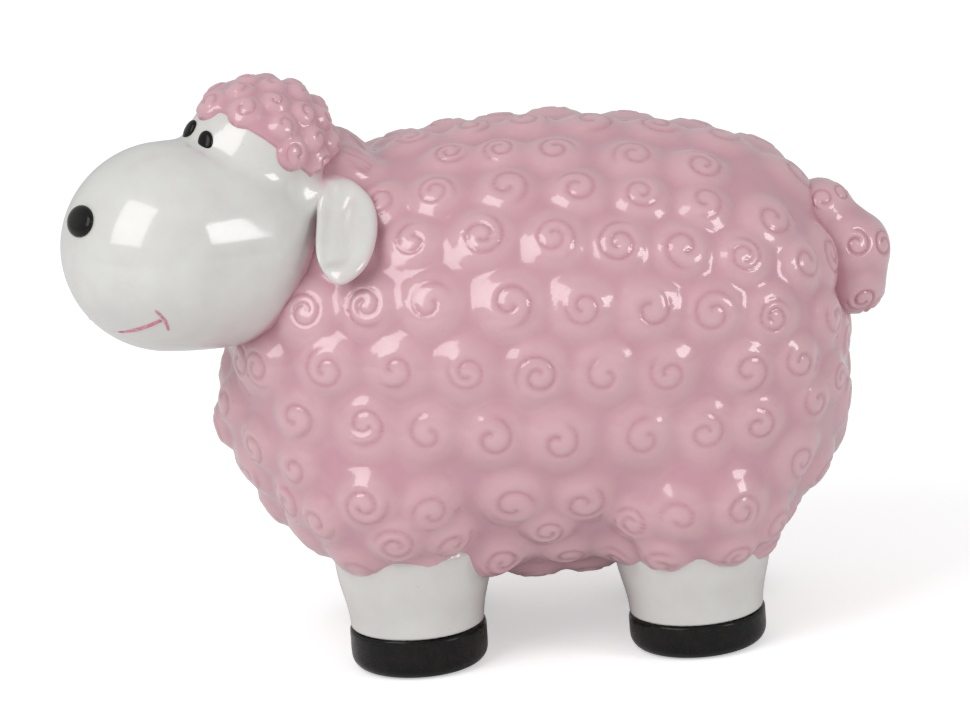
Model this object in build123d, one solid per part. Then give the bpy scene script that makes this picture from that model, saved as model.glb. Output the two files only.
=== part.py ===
from build123d import *
import os
from math import cos, hypot, pi, radians, sin, sqrt

os.makedirs("parts", exist_ok=True)

# Millimetres. The sheep looks along -X with its left side to -Y, and stands on Z = 0.

# Body casting, measured over the wool
body_length = 221.0
body_width = 149.0
body_height = 165.0
belly_clearance = 21.5
curl_rise = 3.5
curl_gap = 0.9
curl_reach = 12.5
crown_radius = 230.0
corner_radius = 46.0
end_radius = 120.0
wall = 5.0
pour_hole_diameter = 9.0

# Film of glaze slip that bonds one casting to the next
glue_gap = 0.15

# Legs and hooves
leg_pitch = 97.6
leg_track = 62.0
leg_height = 50.0
leg_top_radius = 29.0
leg_foot_radius = 23.4
front_hoof_height = 14.5
rear_hoof_height = 12.5
hoof_swell = 0.6
hoof_edge_radius = 5.0
hoof_lip_radius = 1.2
hoof_peg_radius = 9.0
hoof_peg_length = 5.0
haunch_radius = 38.0
haunch_height = 70.0

# Head, placed by the centre of its skull, with its inset from the front of the wool
head_inset = 23.3
head_y = -13.2
head_z = 185.0
head_turn = 29.0
skull_radius = 24.0
forehead_reach = 9.0
forehead_radius = 24.0
muzzle_radius = 35.5
muzzle_length = 24.0
muzzle_reach = 23.5
muzzle_drop = 29.0
muzzle_tilt = 8.0
skull_neck_radius = 21.0
head_wall = 5.0
neck_peg_radius = 14.0
neck_bore_radius = 9.0
neck_peg_length = 8.5
collar_radius = 22.0
collar_inset = 40.5
collar_y = -4.0
collar_z = 160.0

# Wool cap
cap_thickness = 2.4
cap_curl_rise = 1.7
cap_curl_count = 42
cap_curl_radius = 4.5
cap_tilt = 45.0
cap_edge_drop = 5.5

# Nose, eyes and smile
nose_width = 15.2
nose_height = 11.4
nose_rise = 2.4
nose_elevation = 27.0
eye_width = 6.0
eye_height = 7.8
eye_rise = 0.8
eye_slant = 18.0
eye_spread = 15.5
eye_elevation = 27.0
inset_depth = 1.6
smile_width = 1.3
smile_half_span = 25.8
smile_slope = 39.0
smile_drop = 2.8
smile_rise = 0.2
dimple_length = 10.4

# Ears
ear_length = 46.0
ear_width = 23.0
ear_thickness = 7.5
ear_edge_radius = 2.4
ear_rim = 4.2
ear_channel_depth = 2.6
ear_root_back = 6.6
ear_root_out = 21.1
ear_root_drop = 9.5
ear_droop = 34.0
ear_sweep = 35.0
ear_middle_share = (0.2, 0.42)

# Tail bob, placed by the centre of its middle round, with its inset from the rear of the wool
tail_radius = 16.0
tail_end_radius = 14.5
tail_inset = 1.0
tail_z = 131.0
tail_upper_back = 7.0
tail_upper_lift = 16.5
tail_lower_back = 1.5
tail_lower_drop = 14.5
tail_seat_depth = 14.0
tail_curl_radius = 8.5
tail_curl_rise = 2.0

# Rows of curls on each flank: angle down from the back in degrees, then the places
# along the body as shares of half its length. A row drops by curl_row_slope on the way aft.
curl_row_slope = 8.0
curl_row_shares = (
    (16, (-0.25, -0.08, 0.10, 0.35, 0.56)),
    (30, (-0.48, -0.30, -0.07, 0.17, 0.37, 0.57, 0.78)),
    (45, (-0.60, -0.39, -0.16, 0.08, 0.29, 0.49, 0.69)),
    (63, (-0.75, -0.55, -0.34, -0.08, 0.15, 0.37, 0.58, 0.77)),
    (82, (-0.90, -0.69, -0.46, -0.24, -0.01, 0.21, 0.41, 0.67, 0.84)),
    (101, (-0.79, -0.57, -0.38, -0.17, 0.05, 0.32, 0.52, 0.69, 0.88)),
    (121, (-0.81, -0.60, -0.38, -0.12, 0.12, 0.42, 0.62, 0.81)),
    (145, (-0.64, -0.41, -0.16, 0.05, 0.22, 0.47, 0.68)),
    (165, (-0.28, -0.06, 0.12, 0.30)),
)
ridge_shares = (-0.37, -0.16, 0.01, 0.22, 0.44, 0.64)
belly_shares = (-0.80, -0.42, -0.18, 0.02, 0.21, 0.42, 0.80)
end_ring_share = 0.955
end_ring_count = 5

core_half_length = body_length / 2 - curl_rise
core_radius = min(body_width, body_height) / 2 - curl_rise
oval_offset = abs(body_height - body_width) / 2
oval_axis = Vector(0, 0, 1) if body_height >= body_width else Vector(0, 1, 0)
body_z = belly_clearance + body_height / 2
head_x = head_inset - body_length / 2
collar_x = collar_inset - body_length / 2
tail_x = body_length / 2 - tail_inset
overrun = 2 * wall


def body_arcs(grow):
    """Centres, radii and meeting points of the arcs of the body's outline."""
    half, radius = core_half_length + grow, core_radius + grow
    crown, corner, end = crown_radius + grow, corner_radius + grow, end_radius + grow
    crown_centre, end_centre = (0, radius - crown), (half - end, 0)
    crown_gap, end_gap = crown - corner, end - corner
    dx, dy = end_centre[0] - crown_centre[0], end_centre[1] - crown_centre[1]
    span = hypot(dx, dy)
    along = (crown_gap**2 - end_gap**2 + span**2) / (2 * span)
    across = sqrt(crown_gap**2 - along**2)
    centre = (
        crown_centre[0] + (along * dx + across * dy) / span,
        crown_centre[1] + (along * dy - across * dx) / span,
    )
    first = arc_point(crown_centre, crown, centre)
    second = arc_point(end_centre, end, centre)
    return (crown_centre, crown), (centre, corner), (end_centre, end), first, second


def arc_point(centre, radius, through):
    """The point of a circle that lies towards another point."""
    dx, dy = through[0] - centre[0], through[1] - centre[1]
    reach = hypot(dx, dy)
    return centre[0] + radius * dx / reach, centre[1] + radius * dy / reach


def arc_middle(arc, start, end):
    """The point of an arc half way between its two ends."""
    (centre, radius), middle = arc, ((start[0] + end[0]) / 2, (start[1] + end[1]) / 2)
    return arc_point(centre, radius, middle)


def mirrored(point):
    """A point of the outline on the front half of the body."""
    return -point[0], point[1]


def core_at(x):
    """Radius of the body core at a station along its length."""
    (centre_x, centre_y), radius = arc_at(x)
    station = min(abs(x), core_half_length)
    return centre_y + sqrt(radius**2 - (station - centre_x) ** 2)


def body_core(grow=0.0):
    """Oval body: the round outline turned about its length, once to each side of its middle."""
    crown, corner, end, first, second = body_arcs(grow)
    half, radius = core_half_length + grow, core_radius + grow
    on_corner = arc_middle(corner, first, second)
    on_end = arc_middle(end, second, (half, 0))
    outline = Curve() + [
        ThreePointArc((-half, 0), mirrored(on_end), mirrored(second)),
        ThreePointArc(mirrored(second), mirrored(on_corner), mirrored(first)),
        ThreePointArc(mirrored(first), (0, radius), first),
        ThreePointArc(first, on_corner, second),
        ThreePointArc(second, on_end, (half, 0)),
        Line((half, 0), (-half, 0)),
    ]
    turned = Pos(0, 0, body_z) * revolve(make_face(outline), Axis.X, 360)
    return Pos(oval_axis * oval_offset) * turned + Pos(oval_axis * -oval_offset) * turned


def haunch_places():
    """Centres of the four fleshy tops that the legs grow from."""
    return [
        Vector(side_x * leg_pitch / 2, side_y * leg_track / 2, haunch_height)
        for side_x in (-1, 1)
        for side_y in (-1, 1)
    ]


def arc_at(x):
    """Centre and radius of the outline's arc at a station along the body."""
    crown, corner, end, first, second = body_arcs(0)
    if abs(x) < first[0]:
        return crown
    return corner if abs(x) < second[0] else end


def wool_point(x, angle):
    """Point and outward normal of the smooth body at a station and an angle from the back."""
    radius = core_at(x)
    middle = Vector(x, 0, body_z)
    ray = Vector(0, -sin(radians(angle)), cos(radians(angle)))
    lift = min(oval_offset, radius)
    along = lift * abs(ray.dot(oval_axis))
    reach = along + sqrt(radius**2 - lift**2 + along**2)
    point = middle + ray * reach
    (centre_x, centre_y), _ = arc_at(x)
    radial = point - middle - oval_axis * (lift if ray.dot(oval_axis) >= 0 else -lift)
    radial = radial.normalized() if radial.length > glue_gap else oval_axis
    slope = max(radius - centre_y, 0)
    normal = Vector(x - centre_x if x > 0 else x + centre_x, 0, 0) + radial * slope
    for centre in haunch_places():
        half_b = (middle - centre).dot(ray)
        root = half_b**2 - (middle - centre).dot(middle - centre) + haunch_radius**2
        if root > 0 and -half_b + sqrt(root) > reach:
            reach = -half_b + sqrt(root)
            point = middle + ray * reach
            normal = point - centre
    return point, normal.normalized()


def head_plane():
    """Frame of the head: X to its face, Y to its left, Z up."""
    turn = radians(head_turn)
    return Plane(
        origin=(head_x, head_y, head_z),
        x_dir=(-cos(turn), -sin(turn), 0),
        z_dir=(0, 0, 1),
    )


def muzzle_plane():
    """Frame of the muzzle at the cheeks, with Z along its length."""
    frame = head_plane() * Pos(muzzle_reach, 0, -muzzle_drop) * Rot(0, 90 - muzzle_tilt, 0)
    return Plane(frame)


def muzzle_tip():
    """Centre of the round front of the muzzle."""
    return muzzle_plane().from_local_coords(Vector(0, 0, muzzle_length))


def tip_plane():
    """Frame of the front of the muzzle: X to the face, Z up."""
    frame = head_plane()
    return Plane(origin=muzzle_tip(), x_dir=frame.x_dir, z_dir=frame.z_dir)


def muzzle(grow=0.0):
    """Egg-shaped muzzle and cheeks as one turned form."""
    radius = muzzle_radius + grow
    outline = Curve() + [
        ThreePointArc((0, -radius), (radius * sin(pi / 4), -radius * cos(pi / 4)), (radius, 0)),
        Line((radius, 0), (radius, muzzle_length)),
        ThreePointArc(
            (radius, muzzle_length),
            (radius * sin(pi / 4), muzzle_length + radius * cos(pi / 4)),
            (0, muzzle_length + radius),
        ),
        Line((0, muzzle_length + radius), (0, -radius)),
    ]
    turned = revolve(make_face(Plane.XZ * outline), Axis.Z, 360)
    return muzzle_plane() * turned


def skull(grow=0.0):
    """Round skull with its forehead."""
    frame = head_plane()
    back = frame * Sphere(skull_radius + grow)
    front = frame * Pos(forehead_reach, 0, 0) * Sphere(forehead_radius + grow)
    return back + front


def head_form(grow=0.0):
    """Whole head without its neck."""
    column = head_plane() * Pos(forehead_reach, 0, -muzzle_drop / 2) * Cylinder(
        skull_neck_radius + grow, muzzle_drop
    )
    return skull(grow) + muzzle(grow) + column


def neck_plane():
    """Frame at the cheeks with Z towards the middle of the body."""
    start = muzzle_plane().origin
    return Plane(origin=start, z_dir=Vector(0, 0, body_z) - start)


def neck_post(radius, start, length):
    """Round bar along the neck."""
    return neck_plane() * Pos(0, 0, start + length / 2) * Cylinder(radius, length)


def ear_plane(side):
    """Frame of an ear at its root: Y along the ear, X across it, Z off its hollow face."""
    frame = head_plane()
    root = frame.from_local_coords(
        Vector(-ear_root_back, side * ear_root_out, -ear_root_drop)
    )
    droop, sweep = radians(ear_droop), radians(ear_sweep)
    along = (
        frame.x_dir * (cos(droop) * sin(sweep))
        + frame.y_dir * (side * cos(droop) * cos(sweep))
        - frame.z_dir * sin(droop)
    )
    back = -frame.x_dir * cos(sweep) + frame.y_dir * (side * sin(sweep))
    face = back.cross(along) * side
    return Plane(origin=root, x_dir=back, z_dir=face)


def ear_middle(side):
    """Middle of an ear."""
    return ear_plane(side).from_local_coords(Vector(0, side * ear_length / 2, 0))


def ear_outline(side):
    """Drooping leaf shape of an ear, as shares of its width and length."""
    shares = (
        (-0.26, -0.16),
        (0.22, -0.08),
        (0.62, 0.18),
        (0.70, 0.48),
        (0.44, 0.82),
        (0.02, 0.90),
        (-0.28, 0.66),
        (-0.32, 0.24),
    )
    points = [(a * ear_width, side * b * ear_length) for a, b in shares]
    return make_face(Spline(points, periodic=True))


def ear(side):
    """Ear with a rounded edge and a shallow channel, resting on the wool behind the head."""
    blank = Pos(0, 0, -ear_thickness / 2) * extrude(ear_outline(side), ear_thickness)
    rims = blank.edges().group_by(Axis.Z)
    blank = fillet(rims[0] + rims[-1], ear_edge_radius)
    size = (ear_width / 2 - ear_rim, ear_length / 2 - ear_rim, ear_channel_depth)
    middle = (ear_middle_share[0] * ear_width, side * ear_middle_share[1] * ear_length)
    channel = Pos(*middle, ear_thickness / 2) * scale(Sphere(1), by=size)
    form = ear_plane(side) * (blank - channel) - head_form(glue_gap)
    form -= [body_core(glue_gap), collar(glue_gap), cap_room()]
    reach = ear_length / 2 + curl_reach
    for point, normal, footprint in curl_sizes():
        if (point - ear_middle(side)).length < reach:
            form -= dome(point, normal, footprint + glue_gap, curl_rise + glue_gap, core_radius)
    return form


def leg_height_of_foot(side_x):
    """Height of the foot of a leg, where its hoof ends."""
    return front_hoof_height if side_x < 0 else rear_hoof_height


def leg_form(side_x, side_y, grow=0.0):
    """Slightly tapered leg from the hoof to its seat in the body."""
    foot = leg_height_of_foot(side_x)
    length = leg_height - foot
    post = Pos(0, 0, foot + (length + grow) / 2) * Cone(
        leg_foot_radius + grow, leg_top_radius + grow, length + grow
    )
    return Pos(side_x * leg_pitch / 2, side_y * leg_track / 2, 0) * post


def leg(side_x, side_y):
    """Hollow leg with a blind hole under it for the hoof's peg."""
    foot = leg_height_of_foot(side_x)
    inner = leg_foot_radius - wall
    hollow_top, hollow_floor = leg_height, foot + 2 * wall
    place = Pos(side_x * leg_pitch / 2, side_y * leg_track / 2, 0)
    hollow = Pos(0, 0, (hollow_top + hollow_floor) / 2) * Cone(
        inner, leg_top_radius - wall, hollow_top - hollow_floor
    )
    hole = Pos(0, 0, foot + hoof_peg_length / 2) * Cylinder(
        hoof_peg_radius + glue_gap, hoof_peg_length + 2 * glue_gap
    )
    return leg_form(side_x, side_y) - place * hollow - place * hole


def hoof(side_x, side_y):
    """Hoof with a rounded sole edge and a peg into the leg."""
    height = leg_height_of_foot(side_x)
    radius = leg_foot_radius + hoof_swell
    block = Pos(0, 0, height / 2) * Cylinder(radius, height)
    block = fillet(block.edges().filter_by(GeomType.CIRCLE).sort_by(Axis.Z)[0], hoof_edge_radius)
    block = fillet(block.edges().filter_by(GeomType.CIRCLE).sort_by(Axis.Z)[-1], hoof_lip_radius)
    peg = Pos(0, 0, height + hoof_peg_length / 2) * Cylinder(hoof_peg_radius, hoof_peg_length)
    return Pos(side_x * leg_pitch / 2, side_y * leg_track / 2, 0) * (block + peg)


def tail_centres():
    """Centres and radii of the three rounds of the tail bob."""
    return (
        (Vector(tail_x, 0, tail_z), tail_radius),
        (Vector(tail_x - tail_upper_back, 0, tail_z + tail_upper_lift), tail_end_radius),
        (Vector(tail_x - tail_lower_back, 0, tail_z - tail_lower_drop), tail_end_radius),
    )


def tail_bob(grow=0.0):
    """Three rounds that run together."""
    balls = [Pos(centre) * Sphere(radius + grow) for centre, radius in tail_centres()]
    return balls[0] + balls[1] + balls[2]


def tail_keep(grow=0.0):
    """Space behind the flat seat of the tail."""
    seat = tail_x - tail_seat_depth - grow
    return Pos(seat + body_length / 2, 0, tail_z) * Box(body_length, body_width, body_height)


def tail_form(grow=0.0):
    """Tail bob without its curls, cut flat where it seats in the body."""
    return tail_bob(grow) & tail_keep(grow)


def dome(point, normal, footprint, rise, base_radius):
    """Ball that stands out of a round surface as a low dome, with its seam turned inwards."""
    height = rise + base_radius - sqrt(base_radius**2 - footprint**2)
    radius = (footprint**2 + height**2) / (2 * height)
    centre = point + normal * (rise - radius)
    side = normal.cross(Vector(0, 0, 1) if abs(normal.Z) < abs(normal.X) else Vector(1, 0, 0))
    return Plane(origin=centre, x_dir=-normal, z_dir=side) * Sphere(radius)


def curl_places():
    """Point and normal of each wool curl on the body."""
    places = []
    for angle, shares in curl_row_shares:
        for share in shares:
            turn = angle + curl_row_slope * share
            places.append(wool_point(share * core_half_length, turn))
            places.append(wool_point(share * core_half_length, -turn))
    for share in ridge_shares:
        places.append(wool_point(share * core_half_length, 0))
    for share in belly_shares:
        places.append(wool_point(share * core_half_length, 180))
    for end in (-1, 1):
        places.append(wool_point(end * core_half_length, 0))
        for step in range(end_ring_count):
            angle = 360 * (step + (end > 0) / 2) / end_ring_count
            places.append(wool_point(end * end_ring_share * core_half_length, angle))
    return [place for place in places if curl_is_clear(place[0])]


def curl_is_clear(point):
    """True where a curl has room beside the head, the collar, the legs and the tail."""
    for centre, radius in tail_centres():
        if (point - centre).length < radius:
            return False
    frame = head_plane()
    rounds = (
        (frame.origin, skull_radius),
        (muzzle_plane().origin, muzzle_radius),
        (muzzle_tip(), muzzle_radius),
        (Vector(collar_x, collar_y, collar_z), collar_radius),
        (ear_middle(1), ear_width / 2),
    )
    if any((point - centre).length < radius for centre, radius in rounds):
        return False
    for side_x in (-1, 1):
        for side_y in (-1, 1):
            dx = point.X - side_x * leg_pitch / 2
            dy = point.Y - side_y * leg_track / 2
            if hypot(dx, dy) < leg_top_radius and point.Z < leg_height:
                return False
    return True


def curl_sizes():
    """Point, normal and footprint of each curl, as wide as its nearest neighbour lets it be."""
    places = curl_places()
    sizes = []
    for index, (point, normal) in enumerate(places):
        others = [other for i, (other, _) in enumerate(places) if i != index]
        nearest = min((point - other).length for other in others)
        sizes.append((point, normal, min((nearest - curl_gap) / 2, curl_reach)))
    return sizes


def curls():
    """Domes of the wool."""
    return [dome(*size, curl_rise, core_radius) for size in curl_sizes()]


def collar(grow=0.0):
    """Smooth round of wool behind the head."""
    return Pos(collar_x, collar_y, collar_z) * Sphere(collar_radius + grow)


def leg_forms(grow):
    """All four legs, grown alike."""
    return [leg_form(side_x, side_y, grow) for side_x in (-1, 1) for side_y in (-1, 1)]


def body_cavity():
    """Hollow inside the body, a wall away from the outside and from every seat."""
    hollow = body_core(-wall)
    hollow -= head_form(glue_gap + wall)
    hollow -= tail_form(glue_gap + wall)
    return hollow - leg_forms(glue_gap + wall)


def body_shell():
    """Woolly body with its hollow, its seats and the pour hole under the belly."""
    body = body_core()
    for centre in haunch_places():
        body += Pos(centre) * Sphere(haunch_radius)
    body += collar()
    body += curls()
    socket = neck_post(neck_peg_radius + glue_gap, muzzle_radius / 2, muzzle_radius)
    pour_hole = Pos(0, 0, belly_clearance) * Cylinder(pour_hole_diameter / 2, 2 * overrun)
    body -= [head_form(glue_gap), cap_room(), tail_form(glue_gap)]
    return body - leg_forms(glue_gap) - body_cavity() - socket - pour_hole


def head_shell():
    """Hollow head with a tubular peg for the neck and seats for the small pieces."""
    head = head_form()
    peg_start = muzzle_radius - 2 * head_wall
    head += neck_post(neck_peg_radius, peg_start, 2 * head_wall + neck_peg_length)
    head -= head_form(-head_wall)
    head -= neck_post(neck_bore_radius, 0, muzzle_radius + neck_peg_length + overrun)
    return head - [nose(glue_gap), eye(1, glue_gap), eye(-1, glue_gap), smile()]


def nose_spot():
    """Frame of the nose: Z out of the face."""
    return tip_plane() * Rot(0, -nose_elevation, 0) * Rot(0, 90, 0)


def nose(grow=0.0):
    """Oval nose button, set into the muzzle and rounded over its front."""
    floor = muzzle_radius - inset_depth - grow
    rise = nose_rise + inset_depth + grow
    post = extrude(Ellipse(nose_height / 2 + grow, nose_width / 2 + grow), rise)
    button_form = nose_spot() * Pos(0, 0, floor) * post
    if grow:
        return button_form
    top = (nose_width**2 / 4 + nose_rise**2) / (2 * nose_rise)
    return button_form & (nose_spot() * Pos(0, 0, floor + rise - top) * Sphere(top))


def eye_spot(side):
    """Frame of an eye: Z out of the face."""
    frame = head_plane() * Pos(forehead_reach, 0, 0) * Rot(0, 0, side * eye_spread)
    return frame * Rot(0, -eye_elevation, 0) * Rot(0, 90, 0) * Rot(0, 0, side * eye_slant)


def eye(side, grow=0.0):
    """Oval eye, set into the forehead and domed with it."""
    floor = forehead_radius - inset_depth - grow
    rise = eye_rise + inset_depth + grow
    post = extrude(Ellipse(eye_height / 2 + grow, eye_width / 2 + grow), rise)
    button_form = eye_spot(side) * Pos(0, 0, floor) * post
    if grow:
        return button_form
    top = (eye_height**2 / 4 + eye_rise**2) / (2 * eye_rise)
    return button_form & (eye_spot(side) * Pos(0, 0, floor + rise - top) * Sphere(top))


def smile():
    """Thin raised line of the mouth with a dimple at each end, let into the muzzle."""
    plane = tip_plane() * Rot(0, smile_slope, 0)
    outer, inner = muzzle_radius + smile_rise, muzzle_radius - inset_depth
    reach = outer + smile_width
    line = Pos(reach / 2, 0, -smile_drop) * Box(reach, 2 * smile_half_span, smile_width)
    cuts = line
    for side in (-1, 1):
        depth = sqrt(muzzle_radius**2 - smile_half_span**2)
        spot = Pos(depth, side * smile_half_span, -smile_drop)
        cuts += spot * Box(muzzle_radius / 2, smile_width, dimple_length)
    ring = Plane(origin=muzzle_tip()) * (Sphere(outer) - Sphere(inner))
    return ring & (plane * cuts)


def cap_plane():
    """Frame of the cap: Z through its crown, tilted back from the face."""
    return Plane(head_plane() * Rot(0, -cap_tilt, 0))


def cap_side(drop):
    """Everything on the crown's side of the cap's edge."""
    room = 4 * skull_radius
    return cap_plane() * Pos(0, 0, room / 2 - drop) * Box(room, room, room)


def cap_room():
    """Space that the cap takes out of the collar and the ears."""
    outside = cap_thickness + cap_curl_rise + 2 * glue_gap
    return skull(outside) & cap_side(cap_edge_drop + glue_gap)


def cap_spot(ray):
    """Point of the smooth cap along a ray from the skull's centre, its normal and its radius."""
    frame = head_plane()
    spots = []
    for ahead, radius in ((0, skull_radius), (forehead_reach, forehead_radius)):
        offset, outside = frame.x_dir * ahead, radius + glue_gap + cap_thickness
        along = offset.dot(ray)
        reach = along + sqrt(along**2 - ahead**2 + outside**2)
        spots.append((reach, outside, offset))
    reach, outside, offset = max(spots, key=spot_reach)
    return frame.origin + ray * reach, (ray * reach - offset).normalized(), outside


def spot_reach(spot):
    """How far a spot of the cap lies from the skull's centre."""
    return spot[0]


def wool_cap():
    """Cap of small curls that fits over the skull."""
    shell = skull(glue_gap + cap_thickness)
    golden = pi * (3 - sqrt(5))
    frame = cap_plane()
    covered = 1 + cap_edge_drop / (skull_radius + cap_thickness)
    for step in range(cap_curl_count):
        height = 1 - covered * (step + 0.5) / cap_curl_count
        ring, around = sqrt(1 - height**2), step * golden
        ray = frame.from_local_coords(Vector(ring * cos(around), ring * sin(around), height))
        point, normal, outside = cap_spot(ray - frame.origin)
        shell += dome(point, normal, cap_curl_radius, cap_curl_rise, outside)
    return (shell & cap_side(cap_edge_drop)) - head_form(glue_gap)


def tail():
    """Tail bob with its curls, cut flat where it seats in the body."""
    bob = tail_bob()
    for centre, radius in tail_centres():
        for side in (-1, 1):
            normal = Vector(1, side, 0).normalized()
            point = centre + normal * radius
            bob += dome(point, normal, tail_curl_radius, tail_curl_rise, radius)
    return bob & tail_keep()


nodes = {
    "body_shell": body_shell(),
    "head_shell": head_shell(),
    "wool_cap": wool_cap(),
    "left_ear": ear(1),
    "right_ear": ear(-1),
    "tail": tail(),
    "nose": nose(),
    "left_eye": eye(1),
    "right_eye": eye(-1),
    "smile": smile(),
}
for side_x, end in ((-1, "front"), (1, "rear")):
    for side_y, hand in ((-1, "left"), (1, "right")):
        nodes[f"{end}_{hand}_leg"] = leg(side_x, side_y)
        nodes[f"{end}_{hand}_hoof"] = hoof(side_x, side_y)

# The origin lies under the middle of the whole figure, on the surface it stands on
front_x = muzzle_tip().X - muzzle_radius
rear_x = tail_x + tail_radius
for name, solid in nodes.items():
    export_step(Pos(-(front_x + rear_x) / 2, 0, 0) * solid, f"parts/{name}.step")
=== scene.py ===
"""Looks of a glazed pottery sheep with pink wool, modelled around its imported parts."""

import logging
import math
from collections.abc import Callable, Iterator
from contextlib import contextmanager
from dataclasses import dataclass
from enum import Enum
from typing import Protocol

import bpy
import numpy as np
from mathutils import Matrix, Vector


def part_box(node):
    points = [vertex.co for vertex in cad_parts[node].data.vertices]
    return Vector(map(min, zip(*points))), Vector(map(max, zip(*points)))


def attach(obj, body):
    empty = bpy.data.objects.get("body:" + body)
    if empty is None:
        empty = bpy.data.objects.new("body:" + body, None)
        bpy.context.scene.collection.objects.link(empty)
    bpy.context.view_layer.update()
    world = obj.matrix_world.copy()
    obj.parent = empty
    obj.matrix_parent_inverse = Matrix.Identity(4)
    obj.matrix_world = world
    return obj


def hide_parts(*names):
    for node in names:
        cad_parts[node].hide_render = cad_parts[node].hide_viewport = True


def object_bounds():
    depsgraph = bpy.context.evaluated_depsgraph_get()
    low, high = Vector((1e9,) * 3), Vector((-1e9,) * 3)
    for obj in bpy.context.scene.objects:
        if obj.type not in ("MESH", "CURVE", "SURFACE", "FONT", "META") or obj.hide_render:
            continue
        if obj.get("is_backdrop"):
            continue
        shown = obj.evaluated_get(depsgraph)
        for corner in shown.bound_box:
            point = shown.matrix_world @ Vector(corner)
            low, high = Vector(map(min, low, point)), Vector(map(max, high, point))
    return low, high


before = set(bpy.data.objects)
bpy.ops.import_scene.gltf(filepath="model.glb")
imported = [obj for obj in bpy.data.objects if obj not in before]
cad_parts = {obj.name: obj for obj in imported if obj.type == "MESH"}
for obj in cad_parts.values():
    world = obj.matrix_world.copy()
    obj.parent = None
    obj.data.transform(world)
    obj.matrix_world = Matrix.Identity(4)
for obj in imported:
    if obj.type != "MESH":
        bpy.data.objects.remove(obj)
cad_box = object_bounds()

MM = 0.001
MERGE = 1e-7
CHUNK = 16384
GOLDEN = math.pi * (3 - math.sqrt(5))
Piece = bpy.types.Object
Array = np.ndarray
log = logging.getLogger("sheep")


def mm(x: float, y: float, z: float) -> Vector:
    """Point or step given in millimetres."""
    return Vector((x * MM, y * MM, z * MM))


def spin(degrees: float, axis: str) -> Matrix:
    """Turn about an axis."""
    return Matrix.Rotation(math.radians(degrees), 4, axis)


class Side(Enum):
    """Hand of a piece, as the sheep has it; the value is its sign along the head's left."""

    LEFT = 1
    RIGHT = -1


class End(Enum):
    """End of the body; the value is its sign along +X."""

    FRONT = -1
    REAR = 1


class Slot(Enum):
    """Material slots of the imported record."""

    WOOL = "pink_wool_glaze"
    WHITE = "white_glaze"
    BLACK = "black_glaze"
    MOUTH = "mouth_enamel"


# Mesh helpers


def pick_only(piece: Piece) -> None:
    """Deselects everything and makes one piece active.

    Args:
        piece: The piece to work on.
    """
    bpy.ops.object.select_all(action="DESELECT")
    piece.select_set(True)
    bpy.context.view_layer.objects.active = piece


def added(name: str, shape: Callable[..., object], **settings: object) -> Piece:
    """Adds a primitive.

    Args:
        name: Name of the piece and of its mesh.
        shape: Operator that adds it.
        settings: Settings of the operator.

    Returns:
        The new object, which alone is selected.
    """
    bpy.ops.object.select_all(action="DESELECT")
    shape(**settings)
    piece = bpy.context.active_object
    piece.name = name
    piece.data.name = name
    return piece


@contextmanager
def edited(piece: Piece) -> Iterator[None]:
    """Opens a piece in edit mode, with all of its mesh selected, and closes it again.

    Args:
        piece: The piece to work on.
    """
    pick_only(piece)
    bpy.ops.object.mode_set(mode="EDIT")
    bpy.ops.mesh.select_all(action="SELECT")
    yield
    bpy.ops.object.mode_set(mode="OBJECT")


def ico_ball(name: str, centre: Vector, size: Vector, cuts: int) -> Piece:
    """Adds an icosphere, stretched to a size, with its place in its mesh.

    Args:
        name: Name of the piece.
        centre: Centre of the ball.
        size: Half lengths along X, Y and Z.
        cuts: Subdivisions of the icosphere.

    Returns:
        The new object, at the origin and unscaled.
    """
    ball = bpy.ops.mesh.primitive_ico_sphere_add
    piece = added(name, ball, subdivisions=cuts, radius=1, location=centre)
    piece.scale = size
    bpy.ops.object.transform_apply(location=True, rotation=True, scale=True)
    return piece


def points_of(piece: Piece) -> Array:
    """Vertices of a piece as rows."""
    flat = np.empty(len(piece.data.vertices) * 3)
    piece.data.vertices.foreach_get("co", flat)
    return flat.reshape(-1, 3)


def put_points(piece: Piece, points: Array) -> None:
    """Moves the vertices of a piece to the given rows."""
    piece.data.vertices.foreach_set("co", np.ascontiguousarray(points, dtype=float).ravel())
    piece.data.update()


def face_points(piece: Piece, values: Array) -> Array:
    """Least of a vertex value over each face of a triangle mesh.

    Args:
        piece: A piece made of triangles.
        values: One value for each vertex.

    Returns:
        One value for each face.
    """
    corners = np.empty(len(piece.data.loops), dtype=np.int32)
    piece.data.loops.foreach_get("vertex_index", corners)
    return values[corners.reshape(-1, 3)].min(axis=1)


def refine(piece: Piece, chosen: Array) -> None:
    """Cuts the chosen triangles of a piece in four.

    Args:
        piece: A piece made of triangles.
        chosen: True for each face to cut.
    """
    pick_only(piece)
    bpy.context.tool_settings.mesh_select_mode = (False, False, True)
    bpy.ops.object.mode_set(mode="EDIT")
    bpy.ops.mesh.select_all(action="DESELECT")
    bpy.ops.object.mode_set(mode="OBJECT")
    piece.data.polygons.foreach_set("select", chosen)
    bpy.ops.object.mode_set(mode="EDIT")
    bpy.ops.mesh.subdivide(number_cuts=1, ngon=False)
    bpy.ops.mesh.select_all(action="SELECT")
    bpy.ops.mesh.quads_convert_to_tris()
    bpy.ops.object.mode_set(mode="OBJECT")


def subdivided(piece: Piece, levels: int) -> None:
    """Applies a subdivision surface to a piece.

    Args:
        piece: The piece.
        levels: Levels of the modifier.
    """
    pick_only(piece)
    change = piece.modifiers.new("smooth_form", "SUBSURF")
    change.levels = levels
    change.render_levels = levels
    bpy.ops.object.modifier_apply(modifier=change.name)


def outward(piece: Piece) -> None:
    """Merges doubles and turns every face of a closed piece outwards."""
    with edited(piece):
        bpy.ops.mesh.remove_doubles(threshold=MERGE)
        bpy.ops.mesh.normals_make_consistent(inside=False)


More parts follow.
